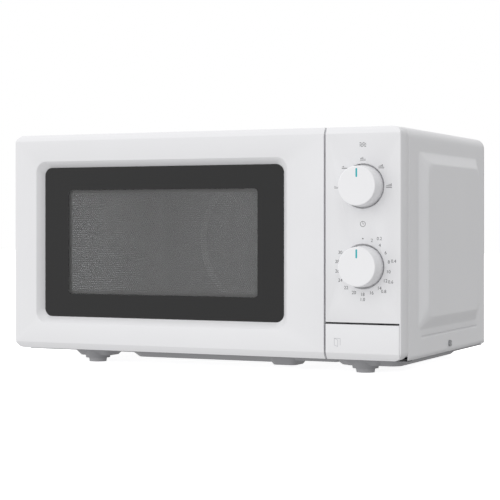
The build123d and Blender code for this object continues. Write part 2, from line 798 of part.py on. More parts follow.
def top_emboss(inward):
    """Raised field on the top, with inward as for the sides."""
    slope = top_emboss_slope
    grow = slope * top_emboss_root / top_emboss_height
    half = half_front - top_emboss_margin
    y0 = emboss_front
    y1 = emboss_rear
    z_base = case_top - inward - top_emboss_root
    z_face = case_top - inward + top_emboss_height
    base = outline_xy(-half - grow, half + grow, y0 - grow, y1 + grow, 8 + grow, z_base)
    face = outline_xy(-half + slope, half - slope, y0 + slope, y1 - slope, top_emboss_corner, z_face)
    return loft([base, face], ruled=True)


def case_body(inward):
    """The wrapper's outer form, or with inward its inner one."""
    half = case_half - inward
    stretch = 2.0 if inward else 0.0
    body = slab(-half, half, case_front - stretch, case_rear + stretch, case_bottom - stretch,
                case_top - inward)
    tops = body.edges().filter_by(Axis.Y).group_by(Axis.Z)[-1]
    body = fillet(tops, case_edge_radius - inward)
    body = body + side_emboss(-1, inward) + side_emboss(1, inward) + top_emboss(inward)
    for side in (-1, 1):
        near = side * (half - groove_depth)
        far = side * (half + 20)
        grow = inward
        body -= slab(min(near, far), max(near, far), emboss_front + groove_start - grow, emboss_rear + grow,
                     groove_middle - groove_height / 2 - grow, groove_middle + groove_height / 2 + grow)
    return body


def make_case():
    case = case_body(0) - case_body(case_wall)
    case -= slab(-half_front, half_front, case_front - 1, case_front + notch_size,
                 case_bottom - 1, case_bottom + notch_size)
    for side in (-1, 1):
        x = side * case_half
        case -= rod_x(case_screw_y, case_screw_z, screw_hole, min(x - side * 2, x + side),
                      max(x - side * 2, x + side))
    return case


def pressed_zone(x0, x1, y0, y1, low, slope, radius, inward):
    """A tray pressed down out of the base sheet."""
    top = base_level + inward + (0.6 if inward else 0.0)
    inset = inward * slope_share
    rim = outline_xy(x0 + inset, x1 - inset, y0 + inset, y1 - inset, radius, top)
    floor = outline_xy(x0 + slope, x1 - slope, y0 + slope, y1 - slope, max(radius - slope / 2, 3),
                       low + inward)
    return loft([floor, rim], ruled=True)


def base_form(inward):
    """Pressed zones of the base: two pans, a shallow link, a dimple, and a boss at each foot."""
    rear = case_rear - zone_rear_margin
    zones = pressed_zone(-half_front + middle_zone_margins[0], half_front - middle_zone_margins[1],
                         zone_front, rear, base_low, base_slope, zone_corner, inward)
    zones += pressed_zone(half_front - right_zone_margins[0], half_front - right_zone_margins[1],
                          zone_front, rear, base_low, base_slope, zone_corner, inward)
    zones += pressed_zone(half_front - shallow_zone_margins[0], half_front - shallow_zone_margins[1],
                          zone_front, zone_front + shallow_length, shallow_low, shallow_slope,
                          shallow_corner, inward)
    zones += pressed_zone(half_front - dimple_margins[0], half_front - dimple_margins[1],
                          zone_front, zone_front + dimple_length, dimple_low, dimple_slope,
                          foot_zone_corner, inward)
    rim = base_level + inward + (0.6 if inward else 0.0)
    for x, y in foot_spots:
        zones += pressed_zone(x - foot_zone_half, x + foot_zone_half, max(y - foot_zone_half, case_front + 1),
                              y + foot_zone_half, base_low, foot_zone_slope, foot_zone_corner, inward)
        zones += cone_z(x, y, boss_radius - inward, boss_radius + boss_slope - inward,
                        boss_low + inward, rim)
    return zones


def make_base():
    y0 = case_front + 1
    y1 = rear_front - 0.4
    base = slab(-plate_half, plate_half, y0, y1, base_level, base_top)
    base = base + base_form(0)
    base = base - base_form(base_sheet)
    for side in (-1, 1):
        outer = side * plate_half
        inner = side * (plate_half - plate_thickness)
        base += slab(min(outer, inner), max(outer, inner), y0 + plate_rim + 2, y1 - 14,
                     base_top, base_top + base_rim)
        base -= rod_x(case_screw_y, case_screw_z, screw_hole, min(outer - side * 3, outer + side),
                      max(outer - side * 3, outer + side))
    for x, y in foot_spots:
        base -= rod_z(x, y, pad_stem_radius + pad_stem_gap, 0, base_top)
    for x in spread(half_front - 70, 9.0, 6):
        base -= plate_xy(x, x + 3, can_y[0] - 2, can_y[1] + 14, 1.4, 0, base_top)
    return base


def make_pads():
    """Rubber feet, each with a stem through its boss and a collar inside."""
    pads = []
    for x, y in foot_spots:
        pad = cone_z(x, y, pad_radius - 0.6, pad_radius, 0, boss_low)
        pad += rod_z(x, y, pad_stem_radius, boss_low, boss_low + base_sheet)
        pad += cone_z(x, y, pad_stem_radius + 1.2, pad_stem_radius - 1, boss_low + base_sheet, boss_low + 3.6)
        pads.append(pad)
    return pads


def make_rear_panel():
    y0, y1 = rear_front, rear_front + case_wall
    panel = plate_xz(-plate_half, plate_half, base_level, plate_top, plate_corner, y0, y1)
    rim = frame_xz(-plate_half, plate_half, base_level, plate_top, plate_corner, case_wall, y0 - 10, y0 + 0.1)
    panel += rim - slab(-half_front, half_front, y0 - 11, y0, 0, base_top + base_rim + 6)
    cuts = []
    for x in (fan_x - 33, fan_x, fan_x + 33):
        for z in spread(fan_z - 36, 6.0, 13):
            cuts.append(plate_xz(x - 14, x + 14, z - vent_half, z + vent_half, 1.2, y0 - 1, y1 + 1))
    for x in (-half_front + 70, -half_front + 110):
        for z in spread(cavity_floor + 59, 7.0, 12):
            cuts.append(plate_xz(x - 16, x + 16, z - vent_half, z + vent_half, 1.2, y0 - 1, y1 + 1))
    cuts.append(rod_y(gland_x, gland_z, gland_radius, y0 - 1, y1 + 1))
    for x in (-spacer_spread, spacer_spread):
        cuts.append(rod_y(x, spacer_height, 3.2, y0 - 1, y1 + 1))
    for x, z in rear_screw_spots:
        cuts.append(rod_y(x, z, screw_hole, y0 - 1, y1 + 1))
    return panel - cuts


def make_spacers():
    spacers = []
    y = rear_front + case_wall
    for x in (-spacer_spread, spacer_spread):
        spacer = cone_y(x, spacer_height, spacer_radius, spacer_radius - 3, y, rear_end)
        spacer = fillet(spacer.edges().filter_by(GeomType.CIRCLE).sort_by(Axis.Y)[-1], 1.5)
        spacer += rod_y(x, spacer_height, 3.0, y - 2, y)
        spacer += cone_y(x, spacer_height, 2.2, 4.0, y - 5, y - case_wall - 0.4)
        spacers.append(spacer)
    return spacers


def make_gland():
    y0, y1 = rear_front, rear_front + case_wall
    gland = rod_y(gland_x, gland_z, gland_radius + 2.4, y1, y1 + 3)
    gland += rod_y(gland_x, gland_z, gland_radius - 0.2, y0 - 6, y1)
    return gland - rod_y(gland_x, gland_z, gland_bore, y0 - 7, y1 + 4)


def cavity_form(grow):
    """The chamber's inner form, or with grow its outer one."""
    form = plate_xz(cavity_x0 - grow, cavity_x1 + grow, cavity_floor - grow, cavity_top + grow,
                    cavity_corner + grow, plate_rear, cavity_rear + grow)
    form = fillet(form.faces().sort_by(Axis.Y)[-1].edges(), cavity_rear_round + grow)
    dish = cone_y(cavity_x, dish_height, dish_radius + 3 + grow, dish_radius - 4 + grow,
                  cavity_rear - 1, cavity_rear + dish_depth + grow)
    track = cone_z(cavity_x, turntable_y, track_radius - 3 + grow, track_radius + 1 + grow,
                   cavity_floor - track_depth - grow, cavity_floor + 1)
    return form + dish + track


def make_cavity():
    cavity = cavity_form(cavity_wall) - cavity_form(0)
    cavity -= slab(-half_front, half_front, 0, plate_rear, 0, front_top)
    x0, x1 = cavity_x1 - 1, cavity_x1 + cavity_wall + 1
    cavity -= slab(x0, x1, port_y[0], port_y[1], port_z[0], port_z[1])
    cavity -= holes_yz(spread(lamp_y - 12, 6.0, 5), spread(lamp_z - 12, 6.0, 4), 1.6, x0, x1)
    cavity -= holes_yz(spread(cavity_rear - 55, 6.0, 5), spread(cavity_floor + 59, 6.0, 8), 1.6, x0, x1)
    left0, left1 = cavity_x0 - cavity_wall - 1, cavity_x0 + 1
    cavity -= holes_yz(spread(plate_rear + 34.8, 6.0, 10), spread(cavity_top - 42, 6.0, 4), 1.6, left0, left1)
    cavity -= rod_z(cavity_x, turntable_y, 5.0, 0, cavity_floor)
    return cavity


def make_waveguide():
    """Box that carries the waves from the magnetron to the port, with a flange on the cavity."""
    x0, x1 = cavity_x1 + cavity_wall, guide_x1
    wide = waveguide_wall
    guide = slab(x0, x1, port_y[0] - wide - 1, port_y[1] + wide + 1,
                 port_z[0] - wide - 1, port_z[1] + wide + 1)
    guide -= slab(x0 - 1, x1 - 1, port_y[0] - wide, port_y[1] + wide, port_z[0] - wide, port_z[1] + wide)
    flange = slab(x0, x0 + 1, port_y[0] - 16, port_y[1] + 12, port_z[0] - 7, port_z[1] + 7)
    flange -= slab(x0 - 1, x0 + 2, port_y[0] - wide, port_y[1] + wide, port_z[0] - wide, port_z[1] + wide)
    return guide + flange - rod_x(magnetron_y, magnetron_z, 11, x1 - 2, x1 + 1)


def make_waveguide_cover():
    """Mica sheet over the port, on the cavity's right wall."""
    return plate_yz(port_y[0] - 8, port_y[1] + 8, port_z[0] - 8, port_z[1] + 8, 4, cavity_x1 - 0.6, cavity_x1)


def make_magnetron_core():
    """Anode block, with its antenna in the waveguide."""
    core = rod_x(magnetron_y, magnetron_z, magnetron_radius, guide_x1 + 8, guide_x1 + magnetron_length)
    core += rod_x(magnetron_y, magnetron_z, magnetron_radius / 2, guide_x1 - 14, guide_x1 + 8)
    return core


def make_magnetron_fins():
    fins = []
    for x in spread(guide_x1 + 20, 5.0, 7):
        fin = slab(x, x + 0.8, magnetron_y - yoke_half_y + 2, magnetron_y + yoke_half_y - 2,
                   magnetron_z - yoke_half_z + 5, magnetron_z + yoke_half_z - 5)
        fins.append(fin - rod_x(magnetron_y, magnetron_z, magnetron_radius, x - 1, x + 2))
    return fins


def make_magnetron_yoke():
    """Steel frame round the fins. Its inner plate is longer and lies on the waveguide."""
    y0, y1 = magnetron_y - yoke_half_y, magnetron_y + yoke_half_y
    z0, z1 = magnetron_z - yoke_half_z, magnetron_z + yoke_half_z
    end = guide_x1 + magnetron_length
    yoke = slab(guide_x1, guide_x1 + yoke_sheet, y0 - 8, y1 + 8, z0, z1)
    yoke += slab(end - yoke_sheet, end, y0, y1, z0, z1)
    yoke += slab(guide_x1, end, y0, y1, z0, z0 + yoke_sheet)
    yoke += slab(guide_x1, end, y0, y1, z1 - yoke_sheet, z1)
    return yoke - rod_x(magnetron_y, magnetron_z, magnetron_radius, guide_x1 - 1, end + 1)


def make_filter_box():
    """Open-backed box over the magnetron's terminals."""
    x0 = guide_x1 + magnetron_length
    box = slab(x0, x0 + 28, magnetron_y - 30, magnetron_y + 30, magnetron_z - 28, magnetron_z + 28)
    return box - slab(x0 - 1, x0 + 27, magnetron_y - 29, magnetron_y + 29, magnetron_z - 27, magnetron_z + 27)


def make_transformer_core():
    """Laminated core with a centre limb, on a foot plate."""
    core = slab(core_x[0], core_x[1], core_y[0], core_y[1], core_z[0], core_z[1])
    for x in (core_x[0] + 13, core_x[1] - 29):
        core -= slab(x, x + 16, core_y[0] - 1, core_y[1] + 1, core_z[0] + 11, core_z[1] - 11)
    core += slab(core_x[0] - 4, core_x[1] + 4, core_y[0] + 6, core_y[1] - 6, base_top, core_z[0])
    return core


def make_transformer_windings():
    """Two coils round the core's middle limb, one above the other."""
    windings = []
    gap = 0.3
    for z0, z1 in ((core_z[0] + 11 + gap, core_z[0] + 31), (core_z[0] + 34, core_z[1] - 11 - gap)):
        coil_body = slab(core_x[0] + 13 + gap, core_x[1] - 13 - gap, core_y[0] - winding_overhang,
                         core_y[1] + winding_overhang, z0, z1)
        limb = slab(core_x[0] + 29 - gap, core_x[1] - 29 + gap, core_y[0] - gap, core_y[1] + gap,
                    z0 - 1, z1 + 1)
        windings.append(coil_body - limb)
    return windings


def make_capacitor():
    """Oval metal can, on its side, with two terminals at one end."""
    middle_z = base_top + can_height / 2
    radius = can_thickness / 2 - 0.5
    can = plate_yz(can_y[0], can_y[1], base_top, base_top + can_height, radius, can_x[0], can_x[1])
    for y in (can_y[0] + 9, can_y[1] - 9):
        can += slab(can_x[0] - 8, can_x[0], y - 2, y + 2, middle_z - 3, middle_z + 3)
    return can


def make_capacitor_clamp():
    """Steel band over the can, with a foot on each side."""
    x0, x1 = clamp_x
    radius = can_thickness / 2 - 0.5
    outer = plate_yz(can_y[0] - 1, can_y[1] + 1, base_top, base_top + can_height + 1, radius + 0.9, x0, x1)
    inner = plate_yz(can_y[0], can_y[1], base_top - 1, base_top + can_height, radius, x0 - 1, x1 + 1)
    feet = slab(x0, x1, can_y[0] - 12, can_y[0] - 0.9, base_top, base_top + 1)
    feet += slab(x0, x1, can_y[1] + 0.9, can_y[1] + 12, base_top, base_top + 1)
    band = outer - inner - slab(x0 - 1, x1 + 1, can_y[0], can_y[1], base_top - 1, base_top + 8)
    legs = slab(x0, x1, can_y[0] - 1, can_y[0], base_top, base_top + 20)
    legs += slab(x0, x1, can_y[1], can_y[1] + 1, base_top, base_top + 20)
    return band + legs + feet


def make_diode():
    """High-voltage diode, with a tab that holds it to the base."""
    y = can_y[1] + 20
    x0 = can_x[0] + 4
    diode = slab(x0, x0 + 24, y - 4, y + 4, base_top, base_top + 6)
    return diode + slab(x0 + 24, x0 + 32, y - 3, y + 3, base_top, base_top + 1)


def make_fan_shroud():
    """Ring and four arms on the rear panel that carry the motor in front of the vents."""
    ring = rod_y(fan_x, fan_z, fan_radius + 5, ring_front, rear_front)
    ring -= rod_y(fan_x, fan_z, fan_radius + 2.5, ring_front - 1, rear_front + 1)
    reach = fan_radius + 3
    arms = slab(fan_x - reach, fan_x + reach, ring_front - 4, ring_front + 0.2, fan_z - 4, fan_z + 4)
    arms += slab(fan_x - 4, fan_x + 4, ring_front - 4, ring_front + 0.2, fan_z - reach, fan_z + reach)
    arms -= rod_y(fan_x, fan_z, 3.5, ring_front - 5, ring_front + 1)
    return ring + arms


def make_fan_motor():
    """Shaded-pole motor: a core block, a round case and two posts on the arms."""
    rear = ring_front - 10
    motor = slab(fan_x - 27, fan_x + 27, rear - 16, rear, fan_z - 22, fan_z + 22)
    motor += rod_y(fan_x, fan_z, 15, rear - 24, rear + 4)
    motor += rod_y(fan_x - 20, fan_z, 3, rear, ring_front - 4)
    motor += rod_y(fan_x + 20, fan_z, 3, rear, ring_front - 4)
    return motor - rod_y(fan_x, fan_z, 2.5 + running_gap, rear - 25, rear + 5)


def make_fan_blade():
    """Five twisted blades on a hub, with the motor's spindle."""
    hub = rod_y(fan_x, fan_z, 8, blade_y[0], blade_y[1])
    hub += rod_y(fan_x, fan_z, 2.5, ring_front - 32, blade_y[0])
    for step in range(5):
        blade = Pos(0, 0, fan_radius / 2 + 2) * Rot(0, 0, 35) * Box(26, 1.4, fan_radius - 6)
        hub += Pos(fan_x, (blade_y[0] + blade_y[1]) / 2, fan_z) * Rot(0, 72 * step, 0) * blade
    return hub


def make_lamp_socket():
    x0 = cavity_x1 + cavity_wall
    socket = slab(x0, x0 + 40, lamp_y - 20, lamp_y + 20, lamp_z - 16, lamp_z + 18)
    socket -= slab(x0 - 1, x0 + 38.8, lamp_y - 18.8, lamp_y + 18.8, lamp_z - 14.8, lamp_z + 16.8)
    socket += rod_x(lamp_y, lamp_z, 8, x0 + 30, x0 + 38.9)
    return socket


def make_lamp():
    """Tubular bulb with rounded ends, on a narrower cap."""
    x0 = cavity_x1 + cavity_wall
    bulb = rod_x(lamp_y, lamp_z, 9.0, x0 + 4, x0 + 22)
    bulb = fillet(bulb.edges().filter_by(GeomType.CIRCLE), 4.0)
    return bulb + rod_x(lamp_y, lamp_z, 6.5, x0 + 21, x0 + 30)


def make_turntable_motor():
    motor = rod_z(cavity_x, turntable_y, 25, base_top + 0.4, motor_top)
    motor += slab(cavity_x - 33, cavity_x + 33, turntable_y - 6, turntable_y + 6, motor_top - 1, motor_top)
    bore = coupler_shaft_radius + running_gap
    return motor - rod_z(cavity_x, turntable_y, bore, motor_top - 7, motor_top + 1)


def make_cutouts():
    """Two thermal cut-outs: on the cavity's roof and on the magnetron's yoke."""
    cutouts = []
    spots = ((cavity_x + 60, turntable_y, cavity_top + cavity_wall),
             (guide_x1 + 30, magnetron_y, magnetron_z + yoke_half_z))
    for x, y, z in spots:
        disc = rod_z(x, y, 8, z, z + 5)
        disc += slab(x - 12, x + 12, y - 3, y + 3, z, z + 1)
        disc += slab(x - 6, x - 5, y - 3, y + 3, z + 5, z + 12)
        disc += slab(x + 5, x + 6, y - 3, y + 3, z + 5, z + 12)
        cutouts.append(disc)
    return cutouts


def make_filter_board():
    """Mains filter: a board on four posts, with its choke coil and capacitor."""
    y0 = rear_front - 9
    board = slab(board_x[0], board_x[1], y0, y0 + 1.6, board_z[0], board_z[1])
    for x in (board_x[0] + 4, board_x[1] - 4):
        for z in (board_z[0] + 4, board_z[1] - 4):
            board += rod_y(x, z, 2.5, y0 + 1.6, rear_front)
    middle = (board_z[0] + board_z[1]) / 2
    board += rod_y(board_x[0] + 20, middle, 11, y0 - 14, y0)
    board += slab(board_x[0] + 42, board_x[0] + 66, y0 - 16, y0, middle - 9, middle + 11)
    return board


def make_screws():
    """All the case's screws: one on each side and four at the rear."""
    screws = [screw_x(case_screw_y, case_screw_z, side * case_half, -side) for side in (-1, 1)]
    screws += [screw_y(x, z, rear_front + case_wall, -1) for x, z in rear_screw_spots]
    return screws


# ---- Turntable ----
def make_tray():
    """Glass plate with a raised rim and three lugs that key it to the coupler."""
    low = tray_low
    top = low + tray_thickness
    profile = Polyline(
        (0, low), (tray_radius - 12, low), (tray_radius, low + tray_rim_height - tray_thickness),
        (tray_radius, low + tray_rim_height), (tray_radius - 2, low + tray_rim_height),
        (tray_radius - 13.5, top), (0, top), close=True)
    tray = revolve(Plane.XZ * make_face(profile), axis=Axis.Z)
    return Pos(cavity_x, turntable_y, 0) * tray


def make_coupler():
    """Three-armed driver on the motor's spindle."""
    hub = rod_z(cavity_x, turntable_y, 4.6, cavity_floor - track_depth - 0.2, coupler_top)
    hub += rod_z(cavity_x, turntable_y, coupler_shaft_radius, motor_top - 6.5, cavity_floor)
    for step in range(3):
        arm = Pos(coupler_radius / 2, 0, 0) * Box(coupler_radius, 5, 4)
        hub += Pos(cavity_x, turntable_y, coupler_top - 2) * Rot(0, 0, 120 * step) * arm
    return hub


def make_roller_ring():
    """Plastic ring with three pins that the rollers turn on."""
    outer = roller_circle - roller_width / 2 - 3
    ring = Cylinder(outer, ring_thickness) - Cylinder(outer - ring_width, ring_thickness + 2)
    for step in range(3):
        pin = Rot(0, 90, 0) * Cylinder(roller_pin_radius, roller_width + 9)
        pin = Pos(outer + roller_width / 2 + 2.5, 0, 0) * pin
        cap = Pos(roller_circle + roller_width / 2 + 1.6, 0, 0) * Rot(0, 90, 0) * Cylinder(3.2, 2.0)
        ring += Rot(0, 0, 120 * step + 30) * (pin + cap)
    return Pos(cavity_x, turntable_y, roller_z) * ring


def make_roller(step):
    wheel = Rot(0, 90, 0) * Cylinder(roller_radius, roller_width)
    wheel = fillet(wheel.edges().filter_by(GeomType.CIRCLE), 0.8)
    wheel -= Rot(0, 90, 0) * Cylinder(roller_pin_radius + pin_gap, roller_width + 2)
    wheel = Rot(0, 0, 120 * step + 30) * Pos(roller_circle, 0, 0) * wheel
    return Pos(cavity_x, turntable_y, roller_z) * wheel


# ---- Writing the pieces ----
def save(name, pieces):
    """Write one node. A list becomes one file of separate solids."""
    if not isinstance(pieces, list):
        pieces = [pieces]
    moved = [Pos(0, -middle_y, 0) * piece for piece in pieces]
    shape = moved[0] if len(moved) == 1 else Compound(children=moved)
    export_step(shape, os.path.join("parts", name + ".step"))


def main():
    os.makedirs("parts", exist_ok=True)
    front = front_body()
    save("outer_case", make_case())
    save("base_plate", make_base())
    save("foot_pads", make_pads())
    save("rear_panel", make_rear_panel())
    save("rear_spacers", make_spacers())
    save("cord_gland", make_gland())
    save("case_screws", make_screws())
    save("cavity", make_cavity())
    save("front_plate", make_front_plate())
    save("hinges", make_hinges())
    save("control_panel", make_panel(front))
    save("timer_unit", make_timer_unit())
    save("timer_motor", make_timer_motor())
    save("timer_bell", make_timer_bell())
    save("latch_board", make_latch_board())
    save("microswitches", make_microswitches())
    save("waveguide", make_waveguide())
    save("waveguide_cover", make_waveguide_cover())
    save("magnetron_core", make_magnetron_core())
    save("magnetron_fins", make_magnetron_fins())
    save("magnetron_yoke", make_magnetron_yoke())
    save("magnetron_filter_box", make_filter_box())
    save("transformer_core", make_transformer_core())
    save("transformer_windings", make_transformer_windings())
    save("capacitor", make_capacitor())
    save("capacitor_clamp", make_capacitor_clamp())
    save("diode", make_diode())
    save("fan_shroud", make_fan_shroud())
    save("fan_motor", make_fan_motor())
    save("fan_blade", make_fan_blade())
    save("lamp_socket", make_lamp_socket())
    save("lamp", make_lamp())
    save("turntable_motor", make_turntable_motor())
    save("thermal_cutouts", make_cutouts())
    save("filter_board", make_filter_board())
    save("door_frame", make_door_frame(front))
    save("door_glass", make_glass())
    save("door_screen", make_screen())
    save("door_choke", make_choke())
    save("door_trim", make_door_trim())
    save("door_inner_film", make_inner_film())
    save("hinge_bushes", make_hinge_bushes())
    save("hook_guide", make_hook_guide())
    save("latch_hooks", make_hooks())
    save("hook_spring", make_hook_spring())
    save("release_button", make_button(front))
    save("button_springs", make_button_springs())
    save("release_lever", make_lever())
    save("power_knob", make_knob(power_dial_z))
    save("power_index", make_index(power_dial_z))
    save("power_shaft", make_dial_shaft(power_dial_z))
    save("timer_knob", make_knob(timer_dial_z))
    save("timer_index", make_index(timer_dial_z))
    save("timer_shaft", make_dial_shaft(timer_dial_z))
    save("turntable_coupler", make_coupler())
    save("glass_tray", make_tray())
    save("roller_ring", make_roller_ring())
    for step in range(3):
        save(f"roller_{step + 1}", make_roller(step))


main()
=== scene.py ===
import json
import math

import bmesh
import bpy
import numpy as np
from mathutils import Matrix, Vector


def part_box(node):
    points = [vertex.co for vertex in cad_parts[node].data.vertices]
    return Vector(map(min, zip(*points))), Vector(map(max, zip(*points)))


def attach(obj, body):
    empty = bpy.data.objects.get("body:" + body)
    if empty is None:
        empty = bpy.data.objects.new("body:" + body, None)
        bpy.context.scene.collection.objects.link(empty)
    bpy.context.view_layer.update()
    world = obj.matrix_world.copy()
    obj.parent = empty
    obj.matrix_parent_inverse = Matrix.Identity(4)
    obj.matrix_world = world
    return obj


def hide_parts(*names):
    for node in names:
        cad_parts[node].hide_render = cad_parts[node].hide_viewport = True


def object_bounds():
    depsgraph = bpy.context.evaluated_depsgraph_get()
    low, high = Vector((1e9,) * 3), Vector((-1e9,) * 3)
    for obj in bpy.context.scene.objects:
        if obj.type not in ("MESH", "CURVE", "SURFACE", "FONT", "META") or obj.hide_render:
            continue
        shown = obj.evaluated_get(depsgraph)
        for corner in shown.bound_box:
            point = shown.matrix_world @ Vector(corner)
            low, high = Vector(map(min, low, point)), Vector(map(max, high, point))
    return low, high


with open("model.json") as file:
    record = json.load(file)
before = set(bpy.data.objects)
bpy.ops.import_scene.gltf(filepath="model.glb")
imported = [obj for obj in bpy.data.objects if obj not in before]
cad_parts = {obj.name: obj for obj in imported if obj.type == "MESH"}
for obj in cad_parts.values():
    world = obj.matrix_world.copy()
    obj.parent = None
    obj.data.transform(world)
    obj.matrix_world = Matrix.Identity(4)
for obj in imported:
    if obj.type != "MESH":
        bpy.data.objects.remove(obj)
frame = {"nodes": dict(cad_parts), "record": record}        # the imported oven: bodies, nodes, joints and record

cadBox = [list(corner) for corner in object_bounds()]
mm = 0.001
nodes = frame["nodes"]
print("frame loaded:", len(nodes), "nodes")


def boxMm(node):
    # a node's lowest and highest corners in mm, at rest
    low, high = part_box(node)
    return np.array(low) / mm, np.array(high) / mm


caseLow, caseHigh = boxMm("outer_case")
doorLow, doorHigh = boxMm("door_frame")
panelLow = boxMm("control_panel")[0]
buttonLow = boxMm("release_button")[0]
glassLow, glassHigh = boxMm("door_glass")
screenLow, screenHigh = boxMm("door_screen")
frontY = doorLow[1]
floorZ = cadBox[0][2] / mm


def linear(hexColour):
    # sRGB to linear: c/12.92 under 0.04045, else ((c + 0.055)/1.055)^2.4
    parts = np.array([int(hexColour[i:i + 2], 16) / 255 for i in (1, 3, 5)])
    low = parts / 12.92
    high = ((parts + 0.055) / 1.055) ** 2.4
    return (*np.where(parts < 0.04045, low, high), 1.0)


def addNode(tree, kind, settings=None, links=None):
    # settings go to sockets or properties by name; links maps an input to (node, output)
    node = tree.nodes.new(kind)
    for name, value in (settings or {}).items():
        if name in node.inputs:
            node.inputs[name].default_value = value
        else:
            setattr(node, name, value)
    for name, (other, output) in (links or {}).items():
        tree.links.new(other.outputs[output], node.inputs[name])
    return node


def newMaterial(name, colour, roughness, **sockets):
    # a plain dielectric or metal; further sockets are named with _ for each space
    material = bpy.data.materials.new(name)
    material.use_nodes = True
    tree = material.node_tree
    shader = tree.nodes["Principled BSDF"]
    shader.inputs["Base Color"].default_value = linear(colour)
    shader.inputs["Roughness"].default_value = roughness
    for key, value in sockets.items():
        shader.inputs[key.replace("_", " ")].default_value = value
    return material, tree, shader


def mottled(tree, shader, colourA, colourB, size, roughLow, roughHigh):
    # colour and roughness drift with one soft noise of the given size in mm
    place = addNode(tree, "ShaderNodeTexCoord")
    noise = addNode(tree, "ShaderNodeTexNoise", {"Scale": 1 / (size * mm), "Detail": 3.0},
                    {"Vector": (place, "Object")})
    tint = addNode(tree, "ShaderNodeMix", {"data_type": "RGBA"})
    tint.inputs[6].default_value = linear(colourA)
    tint.inputs[7].default_value = linear(colourB)
    tree.links.new(noise.outputs["Fac"], tint.inputs[0])
    tree.links.new(tint.outputs[2], shader.inputs["Base Color"])
    rough = addNode(tree, "ShaderNodeMapRange", {"To Min": roughLow, "To Max": roughHigh},
                    {"Value": (noise, "Fac")})
    tree.links.new(rough.outputs["Result"], shader.inputs["Roughness"])
    return place


def grained(tree, shader, place, size, depth, stretch=(1, 1, 1), kind="ShaderNodeTexNoise"):
    # bump from a fine noise: size in mm is the grain, depth in mm its height
    mapping = addNode(tree, "ShaderNodeMapping", {"Scale": stretch}, {"Vector": (place, "Object")})
    grain = addNode(tree, kind, {"Scale": 1 / (size * mm)}, {"Vector": (mapping, "Vector")})
    output = "Fac" if "Fac" in grain.outputs else "Distance"
    bump = addNode(tree, "ShaderNodeBump", {"Strength": 1.0, "Distance": depth * mm},
                   {"Height": (grain, output)})
    tree.links.new(bump.outputs["Normal"], shader.inputs["Normal"])


def powderCoat():
    # Polyester powder coat on steel: sprayed and baked, so it has a slight orange peel about 1.5 mm across.
    material, tree, shader = newMaterial("whitePowderCoat", "#E2E2E4", 0.42)
    place = mottled(tree, shader, "#E0E0E2", "#E4E4E6", 60, 0.40, 0.46)
    grained(tree, shader, place, 1.5, 0.012)
    return material


def mouldedAbs(name, colourA, colourB, roughness):
    # ABS moulded against a spark-eroded tool: an even, fine matt grain.
    # The real 0.1 mm grain is drawn at 0.5 mm, so that it shows.
    material, tree, shader = newMaterial(name, colourA, roughness)
    place = mottled(tree, shader, colourA, colourB, 45, roughness - 0.03, roughness + 0.03)
    grained(tree, shader, place, 0.5, 0.004)
    return material


def glassMix(name, body, shine, roughness, edgeKind, edgeSettings, edgeOutput, outerOnly):
    # sight goes straight through in the body colour; the edge node mixes in a reflection
    material = bpy.data.materials.new(name)
    material.use_nodes = True
    tree = material.node_tree
    tree.nodes.remove(tree.nodes["Principled BSDF"])
    through = addNode(tree, "ShaderNodeBsdfTransparent", {"Color": linear(body)})
    gloss = addNode(tree, "ShaderNodeBsdfGlossy", {"Color": linear(shine), "Roughness": roughness})
    share = addNode(tree, edgeKind, edgeSettings).outputs[edgeOutput]
    if outerOnly:
        side = addNode(tree, "ShaderNodeNewGeometry")
        outer = addNode(tree, "ShaderNodeMath", {"operation": "SUBTRACT", "use_clamp": True})
        tree.links.new(share, outer.inputs[0])
        tree.links.new(side.outputs["Backfacing"], outer.inputs[1])
        share = outer.outputs[0]
    mix = addNode(tree, "ShaderNodeMixShader")
    tree.links.new(share, mix.inputs[0])
    tree.links.new(through.outputs[0], mix.inputs[1])
    tree.links.new(gloss.outputs[0], mix.inputs[2])
    tree.links.new(mix.outputs[0], tree.nodes["Material Output"].inputs["Surface"])
    return material


def toughenedGlass():
    # Toughened float glass: clear sight through it, and a clear reflection off its outer faces only.
    return glassMix("tintedToughenedGlass", "#DBDBDB", "#ADADAD", 0.02, "ShaderNodeFresnel", {"IOR": 1.5},
                    0, True)


def pressedGlass():
    # Pressed soda-lime glass of the tray: faintly green, smooth and clear, brighter where it is seen edge on.
    return glassMix("pressedClearGlass", "#E3EFEA", "#FFFFFF", 0.06, "ShaderNodeLayerWeight", {"Blend": 0.35},
                    "Facing", False)


def clearFilm():
    # Polyester film over the screen's inner face: thin and clear, with a soft shine.
    material, tree, shader = newMaterial("clearPolyesterFilm", "#D8D8DA", 0.15, Alpha=0.12)
    place = addNode(tree, "ShaderNodeTexCoord")
    grained(tree, shader, place, 40, 0.05)
    return material


def sheetSteel(name, colourA, colourB, spangle, roughness):
    # Zinc-coated sheet: cold rolled, so its grain runs one way, with faint crystals a few mm across.
    material, tree, shader = newMaterial(name, colourA, roughness, Metallic=1.0)
    place = mottled(tree, shader, colourA, colourB, spangle, roughness - 0.08, roughness + 0.08)
    grained(tree, shader, place, 0.8, 0.003, (1, 0.06, 1))
    return material


def epoxyEnamel(name, colourA, colourB, roughness):
    # Epoxy enamel baked on steel: smooth, half gloss, with a slow ripple.
    material, tree, shader = newMaterial(name, colourA, roughness)
    place = mottled(tree, shader, colourA, colourB, 30, roughness - 0.04, roughness + 0.04)
    grained(tree, shader, place, 3.0, 0.01)
    return material


def mouldedRubber():
    # Grey nitrile rubber from a blasted mould: dull and slightly uneven.
    material, tree, shader = newMaterial("mouldedRubber", "#A4A4A7", 0.75)
    place = mottled(tree, shader, "#9F9FA2", "#A9A9AC", 6, 0.70, 0.82)
    grained(tree, shader, place, 0.7, 0.02)
    return material


